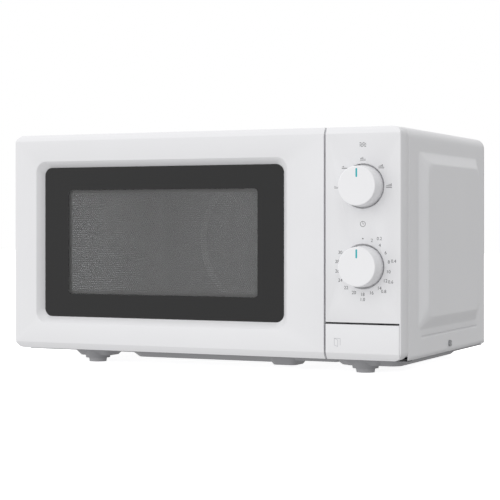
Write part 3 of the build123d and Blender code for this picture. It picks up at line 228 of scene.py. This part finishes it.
def turnedSteel(name, colour, roughness):
    # Turned or drawn steel, nickel plated: fine lines round or along it.
    material, tree, shader = newMaterial(name, colour, roughness, Metallic=1.0)
    place = mottled(tree, shader, colour, "#9A9B9D", 5, roughness - 0.05, roughness + 0.08)
    grained(tree, shader, place, 0.4, 0.002, (1, 1, 8))
    return material


def copperWire():
    # Enamelled copper wire laid in level turns: ridges 0.8 mm apart along z.
    material, tree, shader = newMaterial("enamelledCopperWire", "#A8562E", 0.30, Metallic=1.0)
    place = mottled(tree, shader, "#A8562E", "#B8683A", 8, 0.25, 0.40)
    grained(tree, shader, place, 1.6, 0.15, (0.02, 0.02, 1))
    return material


def laminations():
    # Varnished iron laminations 0.5 mm thick, stacked along y and drawn 1 mm apart so that they show.
    material, tree, shader = newMaterial("varnishedLaminations", "#3A3A3D", 0.5, Metallic=0.6)
    place = mottled(tree, shader, "#333336", "#444448", 4, 0.42, 0.6)
    grained(tree, shader, place, 2.0, 0.12, (0.02, 1, 0.02))
    return material


def circuitBoard():
    # Glass-epoxy board under green solder mask: smooth and slightly glossy.
    material, tree, shader = newMaterial("solderMaskGreen", "#1E5A35", 0.3)
    place = mottled(tree, shader, "#1B5230", "#25683F", 3, 0.25, 0.4)
    grained(tree, shader, place, 1.0, 0.02)
    return material


def micaSheet():
    # Mica board: pressed flakes, silvery buff, each a few mm across.
    material, tree, shader = newMaterial("pressedMica", "#B9AF9A", 0.45)
    place = mottled(tree, shader, "#A99F8B", "#C9C0AC", 5, 0.35, 0.6)
    grained(tree, shader, place, 4.0, 0.03)
    return material


def printInk(name, colour):
    # Pad-printed ink: thin, dull and even, with a slight thinning towards some edges.
    material, tree, shader = newMaterial(name, colour, 0.5)
    place = mottled(tree, shader, colour, colour, 3, 0.45, 0.55)
    grained(tree, shader, place, 0.6, 0.002)
    return material


def glassPrint():
    # Black ceramic print fired onto the glass.
    # It is drawn on the front face, so it carries the glass's own shine.
    material, tree, shader = newMaterial("blackGlassPrint", "#0A0A0B", 0.1, Specular_IOR_Level=0.4)
    mottled(tree, shader, "#09090A", "#0C0C0D", 25, 0.08, 0.12)
    return material


finishes = {
    "white_enamel": powderCoat(),
    "galvanised": sheetSteel("galvanisedSheet", "#9B9DA0", "#A9ABAE", 6, 0.42),
    "cavity_enamel": epoxyEnamel("greyCavityEnamel", "#C6C6C8", "#CCCCCE", 0.26),
    "white_plastic": mouldedAbs("whiteMouldedAbs", "#E3E3E5", "#E6E6E8", 0.42),
    "knob_plastic": mouldedAbs("satinKnobAbs", "#E9E9EB", "#ECECEE", 0.34),
    "teal_mark": mouldedAbs("tealInlayAbs", "#1DA6AE", "#23B0B8", 0.30),
    "rubber": mouldedRubber(),
    "tinted_glass": toughenedGlass(),
    "screen_steel": epoxyEnamel("greyScreenEnamel", "#B8B8B8", "#BDBDBD", 0.42),
    "dark_plastic": mouldedAbs("blackMouldedPlastic", "#242426", "#2B2B2D", 0.5),
    "clear_film": clearFilm(),
    "clear_glass": pressedGlass(),
    "grey_plastic": mouldedAbs("greyMouldedPlastic", "#9B9C9E", "#A2A3A5", 0.48),
    "natural_plastic": mouldedAbs("naturalNylon", "#D9D6C8", "#E0DDD0", 0.45),
    "steel": turnedSteel("platedSteel", "#B4B5B7", 0.28),
    "spring_steel": turnedSteel("springWire", "#8C8D90", 0.32),
    "aluminium_fin": sheetSteel("rolledAluminium", "#C8C9CB", "#D2D3D5", 12, 0.30),
    "laminated_iron": laminations(),
    "copper_winding": copperWire(),
    "mica": micaSheet(),
    "bell_metal": turnedSteel("platedBellSteel", "#C0C1C3", 0.22),
    "board": circuitBoard(),
}
dialInk = printInk("greyDialInk", "#4C4D50")
faintInk = printInk("paleButtonInk", "#C4C5C8")
fritInk = glassPrint()
baseSteel = epoxyEnamel("greyBaseCoat", "#8F8F92", "#959598", 0.5)
slotOf = {part["node"]: part["material_slot"] for part in frame["record"]["subparts"]}
for name, thing in nodes.items():
    material = baseSteel if name == "base_plate" else finishes[slotOf[name]]
    for spot in thing.material_slots:
        spot.material = material
print("materials set:", len(finishes))


def newPiece(name, points, faces, material, body, smooth=True):
    # points in mm, any grid shape; the piece rides on its body
    mesh = bpy.data.meshes.new(name)
    mesh.from_pydata(np.asarray(points).reshape(-1, 3) * mm, [], faces)
    mesh.validate()
    mesh.update()
    if smooth:
        mesh.polygons.foreach_set("use_smooth", np.ones(len(mesh.polygons), bool))
    mesh.materials.append(material)
    piece = bpy.data.objects.new(name, mesh)
    bpy.context.collection.objects.link(piece)
    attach(piece, body)
    return piece


def gridFaces(rows, columns):
    # quads of a grid whose points run along each row first
    start = (np.arange(rows - 1)[:, None] * columns + np.arange(columns - 1)[None, :]).ravel()
    return np.stack([start, start + 1, start + columns + 1, start + columns], 1).tolist()


def roundedOutline(halfX, halfZ, radius, steps):
    # four quarter arcs: centre (+-(half - r)), angle running once round
    angle = np.concatenate([np.linspace(q * math.pi / 2, (q + 1) * math.pi / 2, steps) for q in range(4)])
    signX = np.repeat([1, -1, -1, 1], steps)
    signZ = np.repeat([1, 1, -1, -1], steps)
    x = signX * (halfX - radius) + radius * np.cos(angle)
    z = signZ * (halfZ - radius) + radius * np.sin(angle)
    return x, z


def roundedDistance(x, z, halfX, halfZ, radius):
    # signed distance to a rounded rectangle, negative inside
    outX = np.abs(x) - (halfX - radius)
    outZ = np.abs(z) - (halfZ - radius)
    outside = np.hypot(np.maximum(outX, 0), np.maximum(outZ, 0))
    return outside + np.minimum(np.maximum(outX, outZ), 0) - radius


def softened(node, width, body, sharpest=28):
    # a merged copy of a CAD piece whose crisp edges get a small moulded round
    work = bmesh.new()
    work.from_mesh(nodes[node].data)
    bmesh.ops.remove_doubles(work, verts=work.verts, dist=0.002 * mm)
    bmesh.ops.dissolve_limit(work, angle_limit=math.radians(0.6), verts=work.verts, edges=work.edges)
    mesh = bpy.data.meshes.new(node + "Soft")
    work.to_mesh(mesh)
    work.free()
    mesh.polygons.foreach_set("use_smooth", np.ones(len(mesh.polygons), bool))
    mesh.materials.clear()
    mesh.materials.append(finishes[slotOf[node]])
    piece = bpy.data.objects.new(node + "Soft", mesh)
    bpy.context.collection.objects.link(piece)
    bevel = piece.modifiers.new("mouldRound", "BEVEL")
    bevel.width = width * mm
    bevel.segments = 2
    bevel.limit_method = "ANGLE"
    bevel.angle_limit = math.radians(sharpest)
    bevel.harden_normals = True
    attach(piece, body)
    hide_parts(node)


caseSkin = {
    "sheet": 0.8,           # mm of steel
    "edgeRadius": 11.0,     # along the two top edges
    "sideRaise": 7.0,       # raised field on each side
    "sideSlope": 12.0,
    "topRaise": 3.0,
    "topSlope": 8.0,
    "fine": 0.75,           # grid spacing on the bends
    "coarse": 5.0,          # grid spacing on the flats
    "grooveDepth": 1.5,
    "grooveHeight": 34.8,
    "grooveHalf": 1.1,
    "fieldFront": 56.0,     # the raised field's edges, from the front face
    "fieldRear": 260.0,
    "fieldLow": 42.6,
    "fieldHigh": 220.8,
    "topHalf": 160.0,       # the top field's half width
    "fieldCorners": (5, 15),    # outer and inner corner radius of the side fields
    "topCorners": (8, 12),
    "arcSteps": 8,          # spans round each top edge
    "lipDepth": 0.7,        # the front edge rolls in
    "lipReach": 1.2,
    "frontSpan": 3.0,       # fine grid behind the front edge, round the groove, and outside and inside each slope
    "grooveSpan": 2.2,
    "slopeSpan": (1, 14),
    "topSlopeSpan": (1, 9),
}


def raisedField(u, v, halfU, halfV, slope, outerRadius, innerRadius):
    # t rises 0 to 1 up the slope: the largest t whose shrunken rounded outline still holds the point,
    # found by bisection
    low = np.zeros_like(u)
    high = np.ones_like(u)
    for _ in range(14):
        middle = (low + high) / 2
        radius = outerRadius + (innerRadius - outerRadius) * middle
        inside = roundedDistance(u, v, halfU - slope * middle, halfV - slope * middle, radius) <= 0
        low = np.where(inside, middle, low)
        high = np.where(inside, high, middle)
    t = (low + high) / 2
    t = np.where(t < 0.001, 0, np.where(t > 0.999, 1, t))
    return 0.75 * t + 0.25 * t * t * (3 - 2 * t)


def gridLine(start, stop, bends, fine, coarse):
    # spacing is fine inside each bend and coarse between them: every span between cuts is divided evenly
    cuts = sorted({start, stop, *[min(max(c, start), stop) for bend in bends for c in bend]})
    spans = []
    for low, high in zip(cuts[:-1], cuts[1:]):
        inside = any(b[0] <= (low + high) / 2 <= b[1] for b in bends)
        count = max(1, math.ceil((high - low) / (fine if inside else coarse)))
        spans.append(np.linspace(low, high, count + 1)[1:])
    return np.concatenate([[start], *spans])


def makeCase():
    # Point(u, v) = profile(u) + outward normal(u) * height(u, v); u runs up the left side, over the top
    # and down the right side, v runs from front to rear.
    s = caseSkin
    half = caseHigh[0] - s["sideRaise"]
    top = caseHigh[2] - s["topRaise"]
    bottom = caseLow[2]
    radius = s["edgeRadius"]
    straight = top - radius - bottom
    across = 2 * (half - radius)
    arc = radius * math.pi / 2
    outside, inside = s["slopeSpan"]
    bends = [(s["grooveHeight"] - s["grooveSpan"], s["grooveHeight"] + s["grooveSpan"]),
             (s["fieldLow"] - outside, s["fieldLow"] + inside),
             (s["fieldHigh"] - inside, s["fieldHigh"] + outside)]
    uSide = gridLine(bottom, bottom + straight, bends, s["fine"], s["coarse"]) - bottom
    bend = np.linspace(0, arc, s["arcSteps"] + 1)[1:]
    uArc = straight + bend
    edge = across / 2 - s["topHalf"]
    topOut, topIn = s["topSlopeSpan"]
    topBends = [(edge - topOut, edge + topIn), (across - edge - topIn, across - edge + topOut)]
    uTop = straight + arc + gridLine(0, across, topBends, s["fine"] * 1.5, s["coarse"] * 2)[1:]
    uArcTwo = straight + arc + across + bend
    uDown = 2 * straight + 2 * arc + across - uSide[::-1][1:]
    u = np.concatenate([uSide, uArc, uTop, uArcTwo, uDown])
    front, rear = frontY + s["fieldFront"], frontY + s["fieldRear"]
    vBends = [(caseLow[1], caseLow[1] + s["frontSpan"]), (front - outside, front + inside),
              (rear - inside, rear + outside)]
    v = gridLine(caseLow[1], caseHigh[1], vBends, s["fine"], s["coarse"])
    end = 2 * straight + 2 * arc + across
    mirrored = np.where(u > end / 2, end - u, u)     # left half of the profile
    onArc = np.clip((mirrored - straight) / radius, 0, math.pi / 2)
    x = -half + radius - radius * np.cos(onArc) + np.maximum(mirrored - straight - arc, 0)
    z = bottom + np.minimum(mirrored, straight) + radius * np.sin(onArc)
    nx = -np.cos(onArc)
    nz = np.sin(onArc)
    flip = np.where(u > end / 2, -1, 1)
    x = x * flip
    nx = nx * flip
    gridU, gridV = np.meshgrid(mirrored, v, indexing="ij")
    zHere = bottom + gridU
    fieldY = (front + rear) / 2
    halfY = (rear - front) / 2
    fieldZ = (s["fieldLow"] + s["fieldHigh"]) / 2
    halfZ = (s["fieldHigh"] - s["fieldLow"]) / 2
    side = s["sideRaise"] * raisedField(gridV - fieldY, zHere - fieldZ, halfY, halfZ, s["sideSlope"],
                                       *s["fieldCorners"])
    side = np.where(gridU <= straight, side, 0)
    topX = np.abs(x)[:, None] + 0 * gridV
    crown = s["topRaise"] * raisedField(gridV - fieldY, topX, halfY, s["topHalf"], s["topSlope"],
                                        *s["topCorners"])
    crown = np.where(gridU > straight + arc * 0.99, crown, 0)
    # groove: a round-bottomed press line under the field
    along = 1 / (1 + np.exp(-(gridV - front - 11) / 0.8)) / (1 + np.exp((gridV - rear + 1) / 0.8))
    groove = s["grooveDepth"] * np.exp(-((zHere - s["grooveHeight"]) / s["grooveHalf"]) ** 4) * along
    groove = np.where(gridU <= straight, groove, 0)
    lip = s["lipDepth"] * np.exp(-((gridV - caseLow[1]) / s["lipReach"]) ** 2)
    height = side + crown - groove - lip
    points = np.stack([
        x[:, None] + nx[:, None] * height,
        gridV,
        z[:, None] + nz[:, None] * height,
    ], -1)
    case = newPiece("caseSkin", points, gridFaces(len(u), len(v)), finishes["white_enamel"], "cabinet")
    work = bmesh.new()
    work.from_mesh(case.data)
    bmesh.ops.recalc_face_normals(work, faces=work.faces)
    work.faces.ensure_lookup_table()
    topFace = max(work.faces, key=lambda f: f.calc_center_median().z)
    if topFace.normal.z < 0:
        bmesh.ops.reverse_faces(work, faces=work.faces)
    work.to_mesh(case.data)
    work.free()
    wall = case.modifiers.new("sheetWall", "SOLIDIFY")
    wall.thickness = s["sheet"] * mm
    wall.offset = -1        # inwards
    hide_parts("outer_case")


makeCase()
print("case made")

for node, width, body in (("door_frame", 0.7, "door"), ("control_panel", 0.6, "cabinet"),
                          ("release_button", 0.5, "button")):
    softened(node, width, body)
print("front softened")


screen = {
    "pitch": 2.3,           # mm between hole centres, in staggered rows
    "holeRadius": 0.72,
    "windowLeft": 62.8,     # clear window, from the door's left edge
    "windowRight": 284.6,
    "windowLow": 74.1,
    "windowHigh": 184.7,
    "blankMargin": 1.6,     # unperforated strip just inside the window's edge
    "depth": 0.05,          # the sheet's face behind the CAD sheet's front
    "rimDepth": 0.12,
    "rimOverlap": (0.35, 0.45),    # how far the rim runs over the holes' cells, in pitches and rows
    "rimCorners": (1.2, 4.0),      # inner and outer corner radius of the rim
    "rimSteps": 8,
}
windowX = doorLow[0] + (screen["windowLeft"] + screen["windowRight"]) / 2
windowZ = (screen["windowLow"] + screen["windowHigh"]) / 2
windowHalfX = (screen["windowRight"] - screen["windowLeft"]) / 2
windowHalfZ = (screen["windowHigh"] - screen["windowLow"]) / 2


def flatRing(name, hole, low, high, radius, steps, y, material):
    # A flat ring on the door in the plane y: from the window's rounded hole out to the box low to high.
    inX, inZ = roundedOutline(*hole, steps)
    outX, outZ = roundedOutline((high[0] - low[0]) / 2, (high[2] - low[2]) / 2, radius, steps)
    midX = (high[0] + low[0]) / 2
    midZ = (high[2] + low[2]) / 2
    points = np.concatenate([
        np.stack([inX + windowX, inX * 0 + y, inZ + windowZ], 1),
        np.stack([outX + midX, outX * 0 + y, outZ + midZ], 1),
    ])
    count = len(inX)
    a = np.arange(count)
    b = (a + 1) % count
    newPiece(name, points, np.stack([a, b, b + count, a + count], 1).tolist(), material, "door", False)


def makeScreen():
    # Each cell is a hexagon round a twelve-sided hole: point = centre + r(k) * (cos k, sin k), k in
    # 30 degree steps, with r the hole's radius inside and the hexagon's edge outside.
    s = screen
    pitch = s["pitch"]
    rise = pitch * math.sqrt(3) / 2
    columns = int(2 * (windowHalfX - s["blankMargin"]) / pitch)
    rows = int(2 * (windowHalfZ - s["blankMargin"]) / rise)
    i, j = np.meshgrid(np.arange(columns), np.arange(rows))
    cx = ((i + 0.5 * (j % 2)) - (columns - 0.5) / 2) * pitch + windowX
    cz = (j - (rows - 1) / 2) * rise + windowZ
    centres = np.stack([cx.ravel(), cz.ravel()], 1)
    angle = np.arange(12) * math.pi / 6
    edge = pitch / 2 / np.cos((angle + math.pi / 6) % (math.pi / 3) - math.pi / 6)
    ring = np.stack([np.cos(angle), np.sin(angle)], 1)
    inner = centres[:, None, :] + s["holeRadius"] * ring[None]
    outer = centres[:, None, :] + edge[None, :, None] * ring[None]
    flat = np.concatenate([inner, outer], 1).reshape(-1, 2)
    y = np.full(len(flat), screenLow[1] + s["depth"])
    points = np.stack([flat[:, 0], y, flat[:, 1]], 1)
    k = np.arange(12)
    nextK = (k + 1) % 12
    cell = np.stack([k, nextK, nextK + 12, k + 12], 1)
    faces = (cell[None] + 24 * np.arange(len(centres))[:, None, None]).reshape(-1, 4)
    sheet = newPiece("screenHoles", points, faces.tolist(), finishes["screen_steel"], "door",
                     False)
    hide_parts("door_screen")
    halfX = columns * pitch / 2 - pitch * s["rimOverlap"][0]
    halfZ = rows * rise / 2 - rise * s["rimOverlap"][1]
    inner, outside = s["rimCorners"]
    flatRing("screenRim", (halfX, halfZ, inner), screenLow, screenHigh, outside, s["rimSteps"],
             screenLow[1] + s["rimDepth"], finishes["screen_steel"])
    print("screen made:", len(centres), "holes")


makeScreen()


glassBorder = {
    "windowCorner": 4.0,    # mm
    "glassCorner": 12.0,
    "arcPoints": 10,
    "proud": 0.02,          # of the glass, so that the two faces don't meet
}
flatRing("glassPrint", (windowHalfX, windowHalfZ, glassBorder["windowCorner"]), glassLow, glassHigh,
         glassBorder["glassCorner"], glassBorder["arcPoints"], glassLow[1] - glassBorder["proud"],
         fritInk)
print("glass printed")


dialMarks = {
    "numberRadius": 27.2,   # mm from the timer dial's axis
    "numberHeight": 3.3,
    "outerRadius": 32.2,
    "outerHeight": 3.2,
    "degreesPerMinute": 10.0,
    "lastMinute": 30,
    "outerScale": ((0.2, 32), (0.4, 80), (0.6, 117), (0.8, 138), (1.0, 180)),    # value, degrees from the top
    "zeroDot": 0.7,
    "levelAngles": (-90, -45, 0, 45, 90),
    "levelRadius": 27.0,
    "barCount": 5,
    "barPitch": 1.15,
    "barWidth": 0.55,
    "barShortest": 0.9,
    "barStep": 0.5,
    "barUnlit": 0.3,
    "barFoot": 0.6,         # the bars stand this far under the mark's centre
    "underline": 2.9,       # half length
    "underlineDrop": 1.0,   # under the bars' feet
    "clockRise": 41.5,      # above the timer dial's axis
    "clockRadius": 2.6,
    "wavesRise": 40.5,      # above the power dial's axis
    "wavesHalf": 3.4,
    "wavesPitch": 1.5,
    "wavesHeight": 0.5,
    "clockHands": (((0, -0.1), (0, 0.9), (0, 1.8)), ((0, 0), (0.7, 0), (1.4, 0))),
    "signWidth": 0.42,
    "doorSign": (12.5, 17.5),    # from the button's lower left corner
    "doorSignWidth": 0.5,
    "doorStrokes": (
        ((-3.2, -3.4), (-3.2, 0), (-3.2, 3.4)),
        ((-3.2, 3.4), (0, 3.4), (3.0, 3.4)),
        ((3.0, 3.4), (3.0, 0), (3.0, -3.4)),
        ((-3.2, 3.4), (-1.4, 2.6), (0.4, 1.8)),
        ((0.4, 1.8), (0.4, -1.4), (0.4, -4.6)),
        ((0.4, -4.6), (-1.4, -4.0), (-3.2, -3.4)),
    ),
    "inkProud": 0.04,
}
sizePerHeight = 1.38        # a figure of the built-in font is 1/1.38 of its nominal size


def dialCentre(node):
    # the middle of a dial's box, in x and z
    low, high = boxMm(node)
    return (low[0] + high[0]) / 2, (low[2] + high[2]) / 2


def printText(name, words, height, x, z, y):
    # a flat mesh of the words, centred on x, z and standing in the plane y
    curve = bpy.data.curves.new(name, "FONT")
    curve.body = words
    curve.size = height * mm * sizePerHeight
    curve.align_x = "CENTER"
    curve.align_y = "CENTER"
    holder = bpy.data.objects.new(name, curve)
    bpy.context.collection.objects.link(holder)
    bpy.context.view_layer.update()
    mesh = bpy.data.meshes.new_from_object(holder.evaluated_get(bpy.context.evaluated_depsgraph_get()))
    count = len(mesh.vertices)
    flat = np.zeros(count * 3)
    mesh.vertices.foreach_get("co", flat)
    flat = flat.reshape(-1, 3)
    middle = (flat.min(0) + flat.max(0)) / 2
    placed = np.stack([flat[:, 0] - middle[0] + x * mm, np.full(count, y * mm),
                       flat[:, 1] - middle[1] + z * mm], 1)
    mesh.vertices.foreach_set("co", placed.ravel())
    bpy.data.objects.remove(holder)
    return mesh


def joinMarks(name, meshes, ink, body):
    # one piece from several flat meshes, all facing the front
    work = bmesh.new()
    for mesh in meshes:
        work.from_mesh(mesh)
    bmesh.ops.remove_doubles(work, verts=work.verts, dist=0.001 * mm)
    for face in work.faces:
        if face.normal.y > 0:
            face.normal_flip()
    whole = bpy.data.meshes.new(name)
    work.to_mesh(whole)
    work.free()
    whole.materials.append(ink)
    piece = bpy.data.objects.new(name, whole)
    bpy.context.collection.objects.link(piece)
    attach(piece, body)


def strokeMesh(name, paths, width, y):
    # Each path becomes a flat ribbon: point +- width/2 along the path's normal in the x-z plane.
    points = []
    faces = []
    for path in paths:
        line = np.asarray(path, float)
        along = np.gradient(line, axis=0)
        along /= np.linalg.norm(along, axis=1)[:, None]
        across = np.stack([-along[:, 1], along[:, 0]], 1) * width / 2
        both = np.stack([line + across, line - across], 1).reshape(-1, 2)
        base = sum(len(p) for p in points)
        points.append(np.stack([both[:, 0], np.full(len(both), y), both[:, 1]], 1))
        faces += (np.array(gridFaces(len(line), 2)) + base).tolist()
    mesh = bpy.data.meshes.new(name)
    mesh.from_pydata(np.concatenate(points) * mm, [], faces)
    mesh.update()
    return mesh


def arcPath(x, z, radius, start, stop, steps=16):
    # clockwise from twelve: x + r sin a, z + r cos a
    a = np.radians(np.linspace(start, stop, steps))
    return np.stack([x + radius * np.sin(a), z + radius * np.cos(a)], 1)


def roundDial(x, z, radius, degrees):
    # a place on a dial: x + r sin a, z + r cos a, clockwise from twelve
    turn = math.radians(degrees)
    return x + radius * math.sin(turn), z + radius * math.cos(turn)


def straightPath(x, z, start, stop):
    # a three-point line about x, z: start + (stop - start) * step
    steps = np.linspace(0, 1, 3)[:, None]
    return np.array([x, z]) + np.array(start) + (np.array(stop) - np.array(start)) * steps


def makeTimerMarks():
    # minutes round the dial and weights outside them, each at its own angle
    m = dialMarks
    y = panelLow[1] - m["inkProud"]
    x, z = dialCentre("timer_knob")
    marks = [(str(minutes), m["numberHeight"], m["numberRadius"], minutes * m["degreesPerMinute"])
             for minutes in range(2, m["lastMinute"] + 1, 2)]
    marks += [(f"{value:.1f}", m["outerHeight"], m["outerRadius"], degrees)
              for value, degrees in m["outerScale"]]
    meshes = [printText("mark" + words, words, height, *roundDial(x, z, radius, degrees), y)
              for words, height, radius, degrees in marks]
    dot = arcPath(x, z + m["numberRadius"], m["zeroDot"] / 2, 0, 360, 13)
    meshes.append(strokeMesh("zeroDot", [dot], m["zeroDot"], y))
    joinMarks("timerMarks", meshes, dialInk, "cabinet")


def makePowerMarks():
    # at each level's angle a row of rising bars over a line; the bars past the level stay low
    m = dialMarks
    y = panelLow[1] - m["inkProud"]
    px, pz = dialCentre("power_knob")
    bars = []
    for level, degrees in enumerate(m["levelAngles"], 1):
        cx, cz = roundDial(px, pz, m["levelRadius"], degrees)
        foot = -m["barFoot"]
        for step in range(m["barCount"]):
            bx = (step - (m["barCount"] - 1) / 2) * m["barPitch"]
            tall = m["barShortest"] + m["barStep"] * step if step < level else m["barUnlit"]
            bars.append(straightPath(cx, cz, (bx, foot), (bx, foot + tall)))
        under = foot - m["underlineDrop"]
        bars.append(straightPath(cx, cz, (-m["underline"], under), (m["underline"], under)))
    levels = strokeMesh("levelBars", bars, m["barWidth"], y)
    joinMarks("powerMarks", [levels], dialInk, "cabinet")


def makeSigns():
    # a small clock face and three waves stand above the dials, and a faint open door on the release button
    m = dialMarks
    y = panelLow[1] - m["inkProud"]
    x, z = dialCentre("timer_knob")
    clockZ = z + m["clockRise"]
    hands = [np.array(stroke) + (x, clockZ) for stroke in m["clockHands"]]
    clock = [arcPath(x, clockZ, m["clockRadius"], 0, 360, 33), *hands]
    px, pz = dialCentre("power_knob")
    t = np.linspace(0, 1, 25)
    half = m["wavesHalf"]
    ripple = m["wavesHeight"] * np.sin(4 * math.pi * t)
    waves = [np.stack([px - half + 2 * half * t, pz + m["wavesRise"] + row * m["wavesPitch"] + ripple], 1)
             for row in (-1, 0, 1)]
    signs = [strokeMesh("clockSign", clock, m["signWidth"], y), strokeMesh("waveSign", waves, m["signWidth"], y)]
    joinMarks("dialSigns", signs, dialInk, "cabinet")
    corner = np.array([buttonLow[0], buttonLow[2]]) + m["doorSign"]
    leaf = [np.array(stroke) + corner for stroke in m["doorStrokes"]]
    frontOfButton = buttonLow[1] - m["inkProud"]
    sign = strokeMesh("doorSign", leaf, m["doorSignWidth"], frontOfButton)
    joinMarks("buttonSign", [sign], faintInk, "button")


makeTimerMarks()
makePowerMarks()
makeSigns()
print("marks printed")


studio = {
    "ambient": 0.85,                    # mean brightness round the object
    "slope": (-0.30, -0.24, 0.34),      # brighter to the left, front and top
    "floorColour": "#F4F4F4",
    "floorGlow": 0.8,
    "ovenLight": 0.42,                  # watts
    "cameraPlace": (718.0, -1436.6, 148.2),     # mm from the middle, the front face and the floor
    "cameraTurn": 24.62,
    "lens": 112.87,
    "shiftY": -0.0514,
    "floorHalf": 6000,      # mm
    "ovenLampSize": (0.10, 0.06),       # metres
    "ovenLampPlace": (-60, 70, -12),    # mm from the cavity's right, front and top
    "ovenLampTilt": (-20, 25),          # degrees about x and y
}


def makeFloor():
    # a flat square that glows enough to read as white
    half = studio["floorHalf"]
    points = [(-half, -half, floorZ), (half, -half, floorZ), (half, half, floorZ), (-half, half, floorZ)]
    mesh = bpy.data.meshes.new("floor")
    mesh.from_pydata([tuple(c * mm for c in p) for p in points], [], [(0, 1, 2, 3)])
    material, tree, shader = newMaterial("paleFloor", studio["floorColour"], 0.9)
    shader.inputs["Emission Color"].default_value = (1, 1, 1, 1)
    shader.inputs["Emission Strength"].default_value = studio["floorGlow"]
    mesh.materials.append(material)
    floor = bpy.data.objects.new("floor", mesh)
    bpy.context.collection.objects.link(floor)
    floor.visible_diffuse = False
    floor.visible_glossy = False


def makeLight():
    # radiance = ambient + slope . direction, as from large soft boxes; the camera itself sees plain white
    world = bpy.data.worlds.new("studio")
    world.use_nodes = True
    bpy.context.scene.world = world
    tree = world.node_tree
    tree.nodes.clear()
    place = addNode(tree, "ShaderNodeTexCoord")
    dot = addNode(tree, "ShaderNodeVectorMath", {"operation": "DOT_PRODUCT"})
    tree.links.new(place.outputs["Generated"], dot.inputs[0])
    dot.inputs[1].default_value = studio["slope"]
    total = addNode(tree, "ShaderNodeMath", {"operation": "ADD"})
    tree.links.new(dot.outputs["Value"], total.inputs[0])
    total.inputs[1].default_value = studio["ambient"]
    sky = addNode(tree, "ShaderNodeBackground", {"Color": (1, 1, 1, 1)})
    tree.links.new(total.outputs[0], sky.inputs["Strength"])
    plain = addNode(tree, "ShaderNodeBackground", {"Color": (1, 1, 1, 1), "Strength": 1.0})
    path = addNode(tree, "ShaderNodeLightPath")
    mix = addNode(tree, "ShaderNodeMixShader")
    tree.links.new(path.outputs["Is Camera Ray"], mix.inputs[0])
    tree.links.new(sky.outputs[0], mix.inputs[1])
    tree.links.new(plain.outputs[0], mix.inputs[2])
    out = addNode(tree, "ShaderNodeOutputWorld")
    tree.links.new(mix.outputs[0], out.inputs["Surface"])


def makeOvenLight():
    # a small soft lamp under the cavity's roof, as the oven's own lamp would light it
    data = bpy.data.lights.new("ovenLight", "AREA")
    data.shape = "RECTANGLE"
    data.size, data.size_y = studio["ovenLampSize"]
    data.energy = studio["ovenLight"]
    light = bpy.data.objects.new("ovenLight", data)
    low, high = boxMm("cavity")
    dx, dy, dz = studio["ovenLampPlace"]
    light.location = ((high[0] + dx) * mm, (low[1] + dy) * mm, (high[2] + dz) * mm)
    light.rotation_euler = (*np.radians(studio["ovenLampTilt"]), 0)
    bpy.context.collection.objects.link(light)


def makeCamera():
    # level and shifted, so uprights stay upright
    data = bpy.data.cameras.new("camera")
    data.sensor_width = 36
    data.lens = studio["lens"]
    data.shift_y = studio["shiftY"]
    data.clip_start = 0.05
    camera = bpy.data.objects.new("camera", data)
    x, y, z = studio["cameraPlace"]
    camera.location = (x * mm, (frontY + y) * mm, (floorZ + z) * mm)
    camera.rotation_euler = (math.pi / 2, 0, math.radians(studio["cameraTurn"]))
    bpy.context.collection.objects.link(camera)
    bpy.context.scene.camera = camera
    bpy.context.scene.view_settings.view_transform = "Standard"


makeFloor()
makeLight()
makeOvenLight()
makeCamera()
print("studio set")
